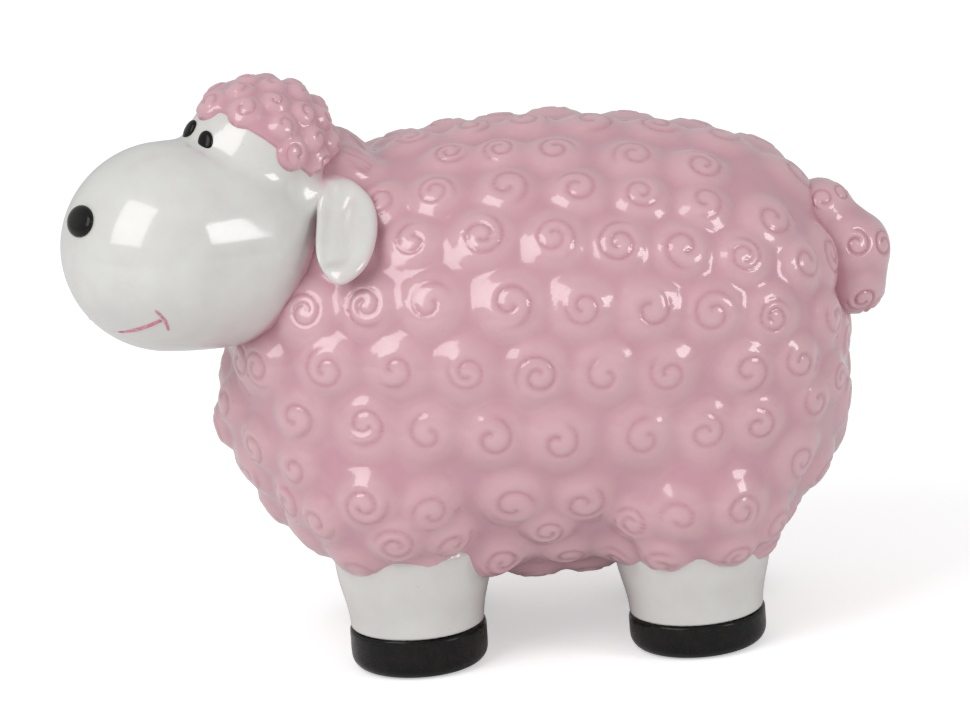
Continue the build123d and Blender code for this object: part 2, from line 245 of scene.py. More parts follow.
def store(piece: Piece, name: str, values: Array) -> None:
    """Keeps a value at each vertex of a piece as an attribute that its glaze reads.

    Args:
        piece: The piece.
        name: Name of the attribute.
        values: One value for each vertex, from 0 to 1.
    """
    attribute = piece.data.attributes.new(name, "FLOAT", "POINT")
    attribute.data.foreach_set("value", np.clip(values, 0, 1).astype(np.float32))


def settle(piece: Piece, node: str, finish: bpy.types.Material) -> None:
    """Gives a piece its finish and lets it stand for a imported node.

    Args:
        piece: The finished mesh, with its place in its vertices.
        node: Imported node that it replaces.
        finish: Material of the piece.
    """
    piece.data.materials.clear()
    piece.data.materials.append(finish)
    pick_only(piece)
    bpy.ops.object.shade_smooth()
    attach(piece, "root")
    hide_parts(node)
    faces = len(piece.data.polygons)
    log.info("%s stands for %s with %d faces", piece.name, node, faces)


def wave(points: Array, length: float, seed: float) -> Array:
    """Slow uneven swell, from about -1 to 1, that a hand leaves in soft clay.

    Args:
        points: Rows of places.
        length: Length of one swell.
        seed: Shifts the pattern.

    Returns:
        One value for each row.
    """
    turn = 2 * math.pi / length
    first = np.sin(points @ np.array([0.83, 0.41, 0.37]) * turn + seed)
    second = np.sin(points @ np.array([-0.36, 0.79, 0.49]) * turn * 1.31 + 2.1 * seed)
    third = np.sin(points @ np.array([0.22, -0.53, 0.82]) * turn * 0.77 + 3.7 * seed)
    return (first + second + third) / 3


# Smooth forms, known by their distance


class Form(Protocol):
    """Solid form that can say how far a point is from its surface."""

    def distance(self, points: Array) -> Array:
        """Signed distance of each row, below zero inside."""


@dataclass(frozen=True)
class Ball:
    """Round lump."""

    centre: Vector
    radius: float

    def distance(self, points: Array) -> Array:
        """Signed distance of each row."""
        return np.linalg.norm(points - np.array(self.centre), axis=1) - self.radius


@dataclass(frozen=True)
class Bar:
    """Bar with round ends, which may taper and swell."""

    start: Vector
    end: Vector
    radius: float
    end_radius: float
    swell: float = 0.0

    def distance(self, points: Array) -> Array:
        """Signed distance of each row, near enough for a gentle taper."""
        start, along = np.array(self.start), np.array(self.end - self.start)
        station = (points - start) @ along / (along @ along)
        share = np.clip(station, 0, 1)
        radius = self.radius + (self.end_radius - self.radius) * share
        radius += self.swell * np.exp(-((station - 0.5) ** 2))
        return np.linalg.norm(points - start - share[:, None] * along, axis=1) - radius


@dataclass(frozen=True)
class Barrel:
    """Oval body: an outline of three arcs turned about its length and stretched upwards."""

    centre: Vector
    half_length: float
    radius: float
    lift: float
    crown: float
    corner: float
    end: float

    def centres(self) -> tuple[Array, Array, Array]:
        """Centres of the crown, corner and end arcs, as station and radius."""
        crown = np.array([0.0, self.radius - self.crown])
        end = np.array([self.half_length - self.end, 0.0])
        crown_gap, end_gap = self.crown - self.corner, self.end - self.corner
        step = end - crown
        span = float(np.linalg.norm(step))
        along = (crown_gap**2 - end_gap**2 + span**2) / (2 * span)
        across = math.sqrt(crown_gap**2 - along**2)
        normal = np.array([step[1], -step[0]])
        return crown, crown + (along * step + across * normal) / span, end

    def distance(self, points: Array) -> Array:
        """Signed distance of each row."""
        crown, corner, end = self.centres()
        place = points - np.array(self.centre)
        upright = np.maximum(np.abs(place[:, 2]) - self.lift, 0)
        spot = np.stack([np.abs(place[:, 0]), np.hypot(place[:, 1], upright)], axis=1)
        rays = [(crown, self.crown), (corner, self.corner), (end, self.end)]
        gaps = [np.linalg.norm(spot - centre, axis=1) - radius for centre, radius in rays]
        over, under = corner - crown, corner - end
        from_crown, from_end = spot - crown, spot - end
        on_crown = over[0] * from_crown[:, 1] - over[1] * from_crown[:, 0] > 0
        on_end = under[0] * from_end[:, 1] - under[1] * from_end[:, 0] < 0
        return np.where(on_crown, gaps[0], np.where(on_end, gaps[2], gaps[1]))


@dataclass(frozen=True)
class Blended:
    """Forms that run into each other over a soft fillet."""

    parts: tuple[Form, ...]
    softness: float

    def distance(self, points: Array) -> Array:
        """Signed distance of each row."""
        total = self.parts[0].distance(points)
        for part in self.parts[1:]:
            other = part.distance(points)
            share = np.clip(0.5 + (other - total) / (2 * self.softness), 0, 1)
            mixed = other + (total - other) * share
            total = mixed - self.softness * share * (1 - share)
        return total


def skin(form: Form, origins: Array, rays: Array, reach: float) -> Array:
    """Points where rays from inside a form leave it.

    Args:
        form: The form.
        origins: Start of each ray, as rows or one row.
        rays: Unit direction of each ray.
        reach: Distance that is outside the form for every ray.

    Returns:
        One row for each ray.
    """
    low, high = np.zeros(len(rays)), np.full(len(rays), reach)
    for _ in range(28):
        middle = (low + high) / 2
        inside = form.distance(origins + rays * middle[:, None]) < 0
        low = np.where(inside, middle, low)
        high = np.where(inside, high, middle)
    return origins + rays * high[:, None]


def facing(form: Form, points: Array) -> Array:
    """Outward normals of a form at points on it.

    Args:
        form: The form.
        points: Rows on or near its surface.

    Returns:
        Unit rows.
    """
    step = 0.05 * MM
    slopes = []
    for axis in range(3):
        shift = np.zeros(3)
        shift[axis] = step
        slopes.append(form.distance(points + shift) - form.distance(points - shift))
    normals = np.stack(slopes, axis=1)
    return normals / np.linalg.norm(normals, axis=1)[:, None]


def unit(rows: Array) -> Array:
    """Rows scaled to length one."""
    return rows / np.linalg.norm(rows, axis=1)[:, None]


def moved(rows: Array, place: Matrix) -> Array:
    """Rows of a local frame in the figure's frame."""
    matrix = np.array(place)
    return rows @ matrix[:3, :3].T + matrix[:3, 3]


def eased(share: Array) -> Array:
    """Soft step from 0 to 1 of a share, which is first kept within that."""
    share = np.clip(share, 0, 1)
    return share**2 * (3 - 2 * share)


def laid(piece: Piece, form: Form, heart: Vector, reach: float) -> Array:
    """Lays the vertices of a piece on a form, along rays from a point inside it.

    Args:
        piece: The piece.
        form: The smooth form.
        heart: Point inside the form.
        reach: Distance that is outside the form for every ray.

    Returns:
        The vertices on the form, as rows.
    """
    middle = np.array(heart)
    points = skin(form, middle[None], unit(points_of(piece) - middle), reach)
    put_points(piece, points)
    return points


# Curls of wool


@dataclass(frozen=True)
class CurlStyle:
    """Sizes of a kind of curl and of the spiral carved in it."""

    rise: float
    reach: float
    valley_share: float = 0.8
    valley_fillet: float = 0.5 * MM
    spiral_radius: float = 7.9 * MM
    spiral_share: float = 0.68
    spiral_eye: float = 1.4 * MM
    least_turns: float = 1.0
    most_turns: float = 1.7
    groove_depth: float = 0.95 * MM
    groove_softness: float = 0.4 * MM
    disc_rise: float = 0.45 * MM
    disc_slope: float = 2.0 * MM
    edge_fade: float = 1.5 * MM
    start_fade: float = 0.12
    end_fade: float = 0.1


@dataclass
class Relief:
    """What the curls do at each point of a surface."""

    height: Array
    groove: Array
    groove_gap: Array
    valley_gap: Array
    covered: Array


class CurlField:
    """Curls side by side on a surface, each with its own spiral."""

    def __init__(self, places: Array, normals: Array, style: CurlStyle, seed: int):
        """Draws the uneven sizes and spirals of the curls.

        Args:
            places: Middle of each curl on the smooth surface.
            normals: Outward normal at each middle.
            style: Sizes of the curls.
            seed: Seed of the random draws.
        """
        draw = np.random.default_rng(seed)
        count = len(places)
        self.style, self.places = style, places
        helper = np.where(np.abs(normals[:, 2:]) > 0.8, [[1.0, 0, 0]], [[0, 0, 1.0]])
        across = unit(np.cross(helper, normals))
        along = np.cross(normals, across)
        self.across, self.along = across, along
        gaps = np.linalg.norm(places[:, None] - places[None], axis=2)
        np.fill_diagonal(gaps, np.inf)
        half_gap = np.sort(gaps, axis=1)[:, :4].mean(axis=1) / 2
        self.width = np.clip(half_gap, 0.6 * style.reach, style.reach)
        self.rise = style.rise * draw.uniform(0.78, 1.0, count)
        self.hand = draw.choice([-1.0, 1.0], count)
        self.start = draw.uniform(0, 2 * math.pi, count)
        self.turns = draw.uniform(style.least_turns, style.most_turns, count)
        self.depth = style.groove_depth * draw.choice([1.0, 1.0, 0.85, 0.6], count)
        self.shift = draw.normal(0, 0.06, (count, 2)) * style.spiral_radius
        self.outer = np.minimum(style.spiral_radius, self.width * style.spiral_share)
        self.outer = self.outer * draw.uniform(0.86, 1.08, count)
        self.pitch = (self.outer - style.spiral_eye) / self.turns

    def relief(self, points: Array) -> Relief:
        """Height and carving of the curls.

        Args:
            points: Rows on the smooth surface.

        Returns:
            The relief at each row.
        """
        parts = [self.relief_of(points[i : i + CHUNK]) for i in range(0, len(points), CHUNK)]
        names = ("height", "groove", "groove_gap", "valley_gap", "covered")
        return Relief(*[np.concatenate([getattr(p, name) for p in parts]) for name in names])

    def relief_of(self, points: Array) -> Relief:
        """Relief of one batch of rows.

        Args:
            points: Rows on the smooth surface.

        Returns:
            The relief at each row.
        """
        style, rows = self.style, np.arange(len(points))
        square = ((points[:, None] - self.places[None]) ** 2).sum(axis=2)
        share = square / self.width**2
        domes = self.rise * (1 - style.valley_share * share**1.3)
        own = domes.argmax(axis=1)
        top = domes[rows, own]
        domes[rows, own] = -np.inf
        slope = 5 * style.valley_share * self.rise[own] / self.width[own]
        drop = (top - domes.max(axis=1)) / slope
        domes[rows, own] = top
        peak = np.maximum(top, 0)
        swell = np.exp((domes - peak[:, None]) / style.valley_fillet).sum(axis=1)
        swell += np.exp(-peak / style.valley_fillet)
        height = peak + style.valley_fillet * np.log(swell)
        gap, fade, inside = self.spiral(points - self.places[own], own)
        height += style.disc_rise * eased(inside / style.disc_slope + 0.5)
        soft = np.sqrt(gap**2 + style.groove_softness**2) - style.groove_softness
        aside = 1 - np.clip(2 * soft / self.pitch[own], 0, 1)
        carve = (1 - np.sqrt(1 - aside**2)) * fade
        height -= self.depth[own] * carve
        covered = np.clip((style.reach - np.sqrt(square.min(axis=1))) / style.edge_fade, 0, 1)
        return Relief(height, carve, np.where(fade > 0.05, gap, np.inf), drop, covered)

    def spiral(self, offset: Array, own: Array) -> tuple[Array, ...]:
        """Distance to the spiral groove of the nearest curl.

        Args:
            offset: Rows from the middle of the curl.
            own: Which curl each row is on.

        Returns:
            The distance to the groove's middle, how deep the groove is there, 0 to 1, and how
            far inside the outer turn the row lies.
        """
        x = (offset * self.across[own]).sum(axis=1) - self.shift[own, 0]
        y = (offset * self.along[own]).sum(axis=1) - self.shift[own, 1]
        radius = np.hypot(x, y)
        outer, pitch = self.outer[own], self.pitch[own]
        turned = np.mod(self.hand[own] * np.arctan2(y, x) - self.start[own], 2 * math.pi)
        best, fade = np.full(len(x), np.inf), np.zeros(len(x))
        for lap in range(2):
            wound = turned / (2 * math.pi) + lap
            gap = np.abs(radius - (outer - pitch * wound))
            left = self.turns[own] - wound
            depth = np.clip(wound / self.style.start_fade, 0, 1)
            depth *= np.clip(left / self.style.end_fade, 0, 1)
            closer = (gap < best) & (left > 0)
            best = np.where(closer, gap, best)
            fade = np.where(closer, depth, fade)
        return np.where(np.isinf(best), 1.0, best), fade, outer - radius


@dataclass
class WoolSkin:
    """Piece of wool: a ball laid on a smooth form, cut finer along its curls and raised to them."""

    piece: Piece
    form: Form
    curls: CurlField
    heart: Vector
    reach: float

    def cut(self, *bands: tuple[float, float]) -> tuple[Array, Relief]:
        """Lays the piece on its form and cuts it finer where the relief is sharp.

        Args:
            bands: Distance from a groove and from a valley that each round cuts.

        Returns:
            The vertices on the form, as rows, and the relief at each.
        """
        for groove_band, valley_band in bands:
            found = self.curls.relief(laid(self.piece, self.form, self.heart, self.reach))
            near_valley = face_points(self.piece, found.valley_gap) < valley_band
            refine(self.piece, (face_points(self.piece, found.groove_gap) < groove_band) | near_valley)
        smooth = laid(self.piece, self.form, self.heart, self.reach)
        return smooth, self.curls.relief(smooth)

    def lift(self, smooth: Array, found: Relief, extra: Array | float = 0.0) -> None:
        """Raises the vertices to the curls and keeps what the wool's glaze reads.

        Args:
            smooth: The vertices on the form.
            found: The relief at each.
            extra: Height added to that of the curls.
        """
        rise = (found.height + extra)[:, None]
        put_points(self.piece, smooth + facing(self.form, smooth) * rise)
        # crest and groove drive the wool glaze's painted light on the crests and painted shade in the
        # valleys and grooves
        store(self.piece, "crest", found.height / self.curls.style.rise)
        store(self.piece, "groove", found.groove)


# Finishes


def tone(red: int, green: int, blue: int) -> tuple[float, float, float, float]:
    """Screen colour as Blender's linear colour.

    Args:
        red: Red, 0 to 255.
        green: Green, 0 to 255.
        blue: Blue, 0 to 255.

    Returns:
        Linear colour with full alpha.
    """
    parts = [value / 255 for value in (red, green, blue)]
    bent = [v / 12.92 if v <= 0.04045 else ((v + 0.055) / 1.055) ** 2.4 for v in parts]
    return bent[0], bent[1], bent[2], 1.0


@dataclass(frozen=True)
class Gloss:
    """Shine of a glaze: constants that stand on the shader's own sockets."""

    ior: float = 1.6
    under_shine: float = 0.3
    coat: float = 1.0
    coat_roughness: float = 0.1


@dataclass(frozen=True)
class Grain:
    """Fine surface of a glaze: its pinholes, its uneven sheen and its bump."""

    pin_gap: float
    pin_width: float
    pin_share: float
    pin_colour: tuple
    sheen_size: float
    least_rough: float
    most_rough: float
    bump_size: float
    bump_detail: float
    bump_depth: float


class NodeSheet:
    """Node tree of one material, with short ways to add and join nodes."""

    def __init__(self, name: str):
        """Starts an empty material.

        Args:
            name: Name of the material.
        """
        self.material = bpy.data.materials.new(name)
        self.material.use_nodes = True
        self.tree = self.material.node_tree
        self.tree.nodes.clear()
        self.place = self.add("ShaderNodeTexCoord").outputs["Object"]

    def add(self, kind: str, **settings: object) -> bpy.types.Node:
        """Adds a node and sets its properties.

        Args:
            kind: Type of the node.
            settings: Properties of the node.

        Returns:
            The node.
        """
        node = self.tree.nodes.new(kind)
        for name, value in settings.items():
            setattr(node, name, value)
        return node

    def join(self, source: object, socket: bpy.types.NodeSocket) -> None:
        """Links an output to a socket, or sets a plain value on it."""
        if isinstance(source, bpy.types.NodeSocket):
            self.tree.links.new(source, socket)
        else:
            socket.default_value = source

    def noise(self, size: float, detail: float = 3.0, roughness: float = 0.5) -> object:
        """Soft noise whose patches have a real size.

        Args:
            size: Size of a patch.
            detail: Octaves of the noise.
            roughness: Weight of the finer octaves.

        Returns:
            The noise's value output.
        """
        node = self.add("ShaderNodeTexNoise")
        self.join(self.place, node.inputs["Vector"])
        node.inputs["Scale"].default_value = 1 / size
        node.inputs["Detail"].default_value = detail
        node.inputs["Roughness"].default_value = roughness
        return node.outputs["Fac"]

    def specks(self, size: float, width: float) -> object:
        """Sparse round specks: 1 inside a speck and 0 outside.

        Args:
            size: Mean distance from one speck to the next.
            width: Width of a speck as a share of that distance.

        Returns:
            A value output.
        """
        node = self.add("ShaderNodeTexVoronoi", feature="F1")
        self.join(self.place, node.inputs["Vector"])
        node.inputs["Scale"].default_value = 1 / size
        return self.scaled(node.outputs["Distance"], width, 0.0, 0.0, 1.0)

    def kept(self, name: str) -> object:
        """Value of a vertex attribute of the piece."""
        return self.add("ShaderNodeAttribute", attribute_name=name).outputs["Fac"]

    def scaled(self, value: object, low: float, high: float, to_low: float, to_high: float) -> object:
        """Maps one range of a value to another, and keeps it within that.

        Args:
            value: The value.
            low: Start of its range.
            high: End of its range.
            to_low: Result at the start.
            to_high: Result at the end.

        Returns:
            A value output.
        """
        node = self.add("ShaderNodeMapRange")
        for socket, part in zip(node.inputs[:5], (value, low, high, to_low, to_high)):
            self.join(part, socket)
        return node.outputs["Result"]

    def product(self, first: object, second: object, kind: str = "MULTIPLY") -> object:
        """Product, or another sum, of two values.

        Args:
            first: First value.
            second: Second value.
            kind: Operation of the Math node.

        Returns:
            A value output.
        """
        node = self.add("ShaderNodeMath", operation=kind)
        self.join(first, node.inputs[0])
        self.join(second, node.inputs[1])
        return node.outputs[0]

    def blend(self, share: object, first: object, second: object, kind: str = "MIX") -> object:
        """Mixes two colours.

        Args:
            share: Share of the second colour.
            first: First colour.
            second: Second colour.
            kind: Blend type.

        Returns:
            A colour output.
        """
        node = self.add("ShaderNodeMix", data_type="RGBA", blend_type=kind)
        self.join(share, node.inputs[0])
        self.join(first, node.inputs[6])
        self.join(second, node.inputs[7])
        return node.outputs[2]

    def patches(
        self, size: float, low: float, high: float, detail: float = 3.0, roughness: float = 0.5
    ) -> object:
        """Noise of a size, with its usual values, 0.3 to 0.7, spread over a range."""
        return self.scaled(self.noise(size, detail, roughness), 0.3, 0.7, low, high)

    def grey(self, value: object) -> object:
        """Colour that has one value in each channel.

        Args:
            value: The value.

        Returns:
            A colour output.
        """
        tint = self.add("ShaderNodeCombineColor")
        for socket in tint.inputs:
            self.join(value, socket)
        return tint.outputs[0]

    def glazed(self, colour: object, grain: Grain, gloss: Gloss) -> bpy.types.Material:
        """Ends the tree in a glaze with pinholes, an uneven sheen and a fine bump.

        Args:
            colour: Colour under the pinholes.
            grain: Fine surface of the glaze.
            gloss: How the glaze shines.

        Returns:
            The material.
        """
        pin = self.product(self.specks(grain.pin_gap, grain.pin_width), grain.pin_share)
        colour = self.blend(pin, colour, grain.pin_colour)
        rough = self.patches(grain.sheen_size, grain.least_rough, grain.most_rough)
        bump = self.noise(grain.bump_size, grain.bump_detail)
        height = self.product(bump, self.specks(grain.pin_gap, grain.pin_width), "SUBTRACT")
        self.shader(colour, rough, height, grain.bump_depth, gloss)
        return self.material

    def shader(
        self, colour: object, roughness: object, height: object, depth: float, gloss: Gloss
    ) -> None:
        """Ends the tree in a glazed surface.

        Args:
            colour: Base colour.
            roughness: Roughness under the glaze.
            height: Value that the fine bump follows.
            depth: Height of that bump.
            gloss: How the glaze shines.
        """
        bump = self.add("ShaderNodeBump")
        bump.inputs["Distance"].default_value = depth
        bump.inputs["Strength"].default_value = 1.0
        self.join(height, bump.inputs["Height"])
        surface = self.add("ShaderNodeBsdfPrincipled")
        self.join(colour, surface.inputs["Base Color"])
        self.join(roughness, surface.inputs["Roughness"])
        self.join(bump.outputs["Normal"], surface.inputs["Normal"])
        surface.inputs["IOR"].default_value = gloss.ior
        surface.inputs["Specular IOR Level"].default_value = gloss.under_shine
        surface.inputs["Coat Weight"].default_value = gloss.coat
        surface.inputs["Coat Roughness"].default_value = gloss.coat_roughness
        surface.inputs["Coat IOR"].default_value = gloss.ior
        end = self.add("ShaderNodeOutputMaterial")
        self.join(surface.outputs["BSDF"], end.inputs["Surface"])


@dataclass(frozen=True)
class WoolGlaze:
    """Brushed pink glaze with painted light: lighter on the crests of the curls, darker in the valleys
    and grooves, partly glaze that pools there and partly painted shade.
    """

    # crest is painted light on the tops of the curls; pool and groove are partly pooled glaze and
    # partly painted shade
    crest: tuple = tone(212, 168, 176)
    flank: tuple = tone(208, 162, 171)
    pool_and_shade: tuple = tone(198, 147, 159)
    groove: tuple = tone(188, 130, 144)
    mottle: float = 16 * MM
    brush: float = 4 * MM
    groove_share: float = 0.8
    grain: Grain = Grain(
        pin_gap=7 * MM,
        pin_width=0.05,
        pin_share=0.35,
        pin_colour=pool_and_shade,
        sheen_size=brush,
        least_rough=0.3,
        most_rough=0.45,
        bump_size=1.6 * MM,
        bump_detail=3.0,
        bump_depth=0.05 * MM,
    )
    gloss: Gloss = Gloss()

    def material(self) -> bpy.types.Material:
        """Builds the glaze.

        Returns:
            The material.
        """
        sheet = NodeSheet("pink_wool_glaze")
        depth = sheet.kept("crest")
        level = sheet.product(depth, sheet.patches(self.mottle, -0.1, 0.1, 1.0), "ADD")
        # painted shade low between the curls and painted light on their crests, set by the height of
        # the curl
        colour = sheet.blend(sheet.scaled(level, 0.0, 0.5, 0.0, 1.0), self.pool_and_shade, self.flank)
        colour = sheet.blend(sheet.scaled(level, 0.55, 1.0, 0.0, 1.0), colour, self.crest)
        # darker in the carved grooves: pooled glaze and painted shade
        cut = sheet.product(sheet.kept("groove"), self.groove_share)
        colour = sheet.blend(cut, colour, self.groove)
        streak = sheet.patches(self.brush, 0.985, 1.015, 2.0, 0.4)
        colour = sheet.blend(1.0, colour, sheet.grey(streak), "MULTIPLY")
        return sheet.glazed(colour, self.grain, self.gloss)


@dataclass(frozen=True)
class WhiteGlaze:
    """Milky white glaze with a faint warm mottle and pink beside the wool, partly overspray and partly
    painted reflection of the pink wool.
    """

    name: str
    body: tuple = tone(215, 215, 211)
    shade: tuple = tone(209, 207, 204)
    overspray_and_reflection: tuple = tone(218, 180, 188)
    mottle: float = 14 * MM
    ragged: float = 3 * MM
    grain: Grain = Grain(
        pin_gap=11 * MM,
        pin_width=0.035,
        pin_share=0.5,
        pin_colour=tone(150, 140, 134),
        sheen_size=6 * MM,
        least_rough=0.28,
        most_rough=0.4,
        bump_size=4 * MM,
        bump_detail=2.0,
        bump_depth=0.04 * MM,
    )
    gloss: Gloss = Gloss()

    def material(self) -> bpy.types.Material:
        """Builds the glaze.

        Returns:
            The material.
        """
        sheet = NodeSheet(self.name)
        slow = sheet.scaled(sheet.noise(self.mottle, 4.0, 0.55), 0.35, 0.7, 0.0, 1.0)
        colour = sheet.blend(slow, self.body, self.shade)
        ragged = sheet.patches(self.ragged, 0.6, 1.3, 4.0, 0.6)
        # pink near the wool: overspray and painted reflection of the wool's pink
        colour = sheet.blend(sheet.product(sheet.kept("spray"), ragged), colour, self.overspray_and_reflection)
        return sheet.glazed(colour, self.grain, self.gloss)


@dataclass(frozen=True)
class BlackGlaze:
    """Black glaze with a brown cast where it is thin."""

    name: str
    body: tuple = tone(16, 16, 15)
    thin: tuple = tone(30, 26, 24)
    mottle: float = 5 * MM
    grain: Grain = Grain(
        pin_gap=6 * MM,
        pin_width=0.05,
        pin_share=0.6,
        pin_colour=tone(90, 84, 80),
        sheen_size=3 * MM,
        least_rough=0.2,
        most_rough=0.4,
        bump_size=3 * MM,
        bump_detail=3.0,
        bump_depth=0.04 * MM,
    )
    gloss: Gloss = Gloss(ior=1.4, under_shine=0.1, coat=0.45, coat_roughness=0.06)

    def material(self) -> bpy.types.Material:
        """Builds the glaze.

        Returns:
            The material.
        """
        sheet = NodeSheet(self.name)
        thin = sheet.scaled(sheet.noise(self.mottle, 5.0, 0.6), 0.45, 0.75, 0.0, 0.8)
        colour = sheet.blend(thin, self.body, self.thin)
        return sheet.glazed(colour, self.grain, self.gloss)


@dataclass(frozen=True)
class MouthEnamel:
    """Pink-red enamel of the brushed mouth, paler where the brush ran dry."""

    wet: tuple = tone(200, 104, 124)
    dry: tuple = tone(214, 156, 166)
    streak: float = 1.2 * MM
    bump_size: float = 0.7 * MM
    bump_depth: float = 0.03 * MM
    gloss: Gloss = Gloss(coat=0.7, coat_roughness=0.12)

    def material(self) -> bpy.types.Material:
        """Builds the enamel.

        Returns:
            The material.
        """
        sheet = NodeSheet("mouth_enamel")
        dry = sheet.scaled(sheet.noise(self.streak, 4.0, 0.65), 0.4, 0.7, 0.0, 1.0)
        colour = sheet.blend(dry, self.wet, self.dry)
        rough = sheet.scaled(dry, 0.0, 1.0, 0.3, 0.5)
        sheet.shader(colour, rough, sheet.noise(self.bump_size), self.bump_depth, self.gloss)
        return sheet.material


# The figure's own frames and forms


def middle_of(node: str) -> Vector:
    """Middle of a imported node's box."""
    low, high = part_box(node)
    return (low + high) / 2


@dataclass(frozen=True)
class HeadPlace:
    """Where the head sits and how it turns."""

    offset: Vector = mm(-87.2, -13.2, 185)
    turn: float = 29.0

    def frame(self) -> Matrix:
        """Frame of the head: X to its face, Y to its left, Z up."""
        origin = self.offset + Vector((body_middle().x, 0, 0))
        return Matrix.Translation(origin) @ spin(180 + self.turn, "Z")


def body_middle() -> Vector:
    """Point on the ground under the middle of the body, halfway between the hooves."""
    front, rear = middle_of("front_left_hoof"), middle_of("rear_left_hoof")
    return Vector(((front.x + rear.x) / 2, 0, 0))


def at(place: Matrix, x: float, y: float, z: float) -> Vector:
    """Point of a local frame in the figure's frame."""
    return place @ Vector((x, y, z))


@dataclass(frozen=True)
class BodyForm:
    """Smooth form under the wool."""

    half_length: float = 107 * MM
    radius: float = 71 * MM
    lift: float = 8 * MM
    height: float = 104 * MM
    crown: float = 230 * MM
    corner: float = 46 * MM
    end: float = 120 * MM
    front_haunch: Vector = mm(-52, 30, 73)
    front_haunch_radius: float = 40 * MM
    rear_haunch: Vector = mm(49.5, 30, 64)
    rear_haunch_radius: float = 38.5 * MM
    chest: Vector = mm(-83, -8, 90)
    chest_radius: float = 29 * MM
    collar_offset: Vector = mm(-70, -4, 160)
    collar_radius: float = 22 * MM
    nape: Vector = mm(-75, -8, 167)
    thigh: Vector = mm(-27, 34, 48)
    thigh_radius: float = 17 * MM
    softness: float = 5 * MM

    def centre(self) -> Vector:
        """Middle of the body."""
        return body_middle() + Vector((0, 0, self.height))

    def form(self) -> Form:
        """Barrel, four haunches, the front thighs, the chest and the collar behind the head.

        Returns:
            The blended form.
        """
        ground = body_middle()
        barrel = Barrel(
            self.centre(), self.half_length, self.radius, self.lift, self.crown, self.corner, self.end
        )
        pairs = (
            (self.front_haunch, self.front_haunch_radius),
            (self.rear_haunch, self.rear_haunch_radius),
            (self.thigh, self.thigh_radius),
        )
        lumps = [
            Ball(ground + Vector((place.x, side * place.y, place.z)), radius)
            for place, radius in pairs
            for side in (-1, 1)
        ]
        lumps.append(Ball(ground + self.chest, self.chest_radius))
        lumps += [Ball(ground + place, self.collar_radius) for place in (self.collar_offset, self.nape)]
        return Blended((barrel, *lumps), self.softness)


@dataclass(frozen=True)
class HeadForm:
    """Smooth form of the bare head."""

    skull: Vector = mm(4, 0, 0.6)
    skull_radius: float = 23.4 * MM
    forehead_reach: float = 9 * MM
    forehead_radius: float = 24 * MM
    muzzle_radius: float = 35.4 * MM
    muzzle_length: float = 24 * MM
    muzzle_reach: float = 23.5 * MM
    muzzle_drop: float = 29 * MM
    muzzle_tilt: float = 8.0
    muzzle_swell: float = 1.9 * MM
    column_radius: float = 21 * MM
    bridge_start: Vector = mm(0, 17, -14)
    bridge_end: Vector = mm(-8, 23.5, -13)
    bridge_radius: float = 10.5 * MM
    bridge_end_radius: float = 4.6 * MM
    eye_spread: float = 15.5
    eye_turn: float = 1.4
    eye_elevation: float = 27.0
    eye_tip: float = 2.0
    eyeball_radius: float = 9 * MM
    eyeball_rise: float = 0.9 * MM
    eye_softness: float = 1.2 * MM
    softness: float = 5 * MM

    def cheek(self) -> Vector:
        """Middle of the cheeks in the head's frame."""
        return Vector((self.muzzle_reach, 0, -self.muzzle_drop))

    def tip(self) -> Vector:
        """Middle of the round front of the muzzle in the head's frame."""
        tilt = math.radians(self.muzzle_tilt)
        return self.cheek() + self.muzzle_length * Vector((math.cos(tilt), 0, math.sin(tilt)))

    def eye_frame(self, side: Side) -> Matrix:
        """Frame of an eye in the figure's frame, with X out of the forehead.

        Args:
            side: Which eye.

        Returns:
            The frame, at the middle of the forehead's round.
        """
        sign = side.value
        spread = spin(self.eye_turn + sign * self.eye_spread, "Z")
        lift = spin(sign * self.eye_tip - self.eye_elevation, "Y")
        reach = Matrix.Translation((self.forehead_reach, 0, 0))
        return HeadPlace().frame() @ reach @ spread @ lift

    def form(self) -> Form:
        """Skull, forehead, muzzle, column and eyeballs.

        Returns:
            The blended form.
        """
        place = HeadPlace().frame()
        brow = at(place, self.forehead_reach, 0, 0)
        under = at(place, self.forehead_reach, 0, -self.muzzle_drop)
        cheek, tip = place @ self.cheek(), place @ self.tip()
        skull = Bar(place @ self.skull, brow, self.skull_radius, self.forehead_radius)
        muzzle = Bar(cheek, tip, self.muzzle_radius, self.muzzle_radius, self.muzzle_swell)
        column = Bar(brow, under, self.column_radius, self.column_radius)
        bridges = []
        for side in Side:
            start, end = (
                at(place, spot.x, side.value * spot.y, spot.z)
                for spot in (self.bridge_start, self.bridge_end)
            )
            bridges.append(Bar(start, end, self.bridge_radius, self.bridge_end_radius))
        head = Blended((skull, muzzle, column, *bridges), self.softness)
        depth = self.forehead_radius + self.eyeball_rise - self.eyeball_radius
        eyes = [Ball(at(self.eye_frame(side), depth, 0, 0), self.eyeball_radius) for side in Side]
        return Blended((head, *eyes), self.eye_softness)


# Sub-assemblies


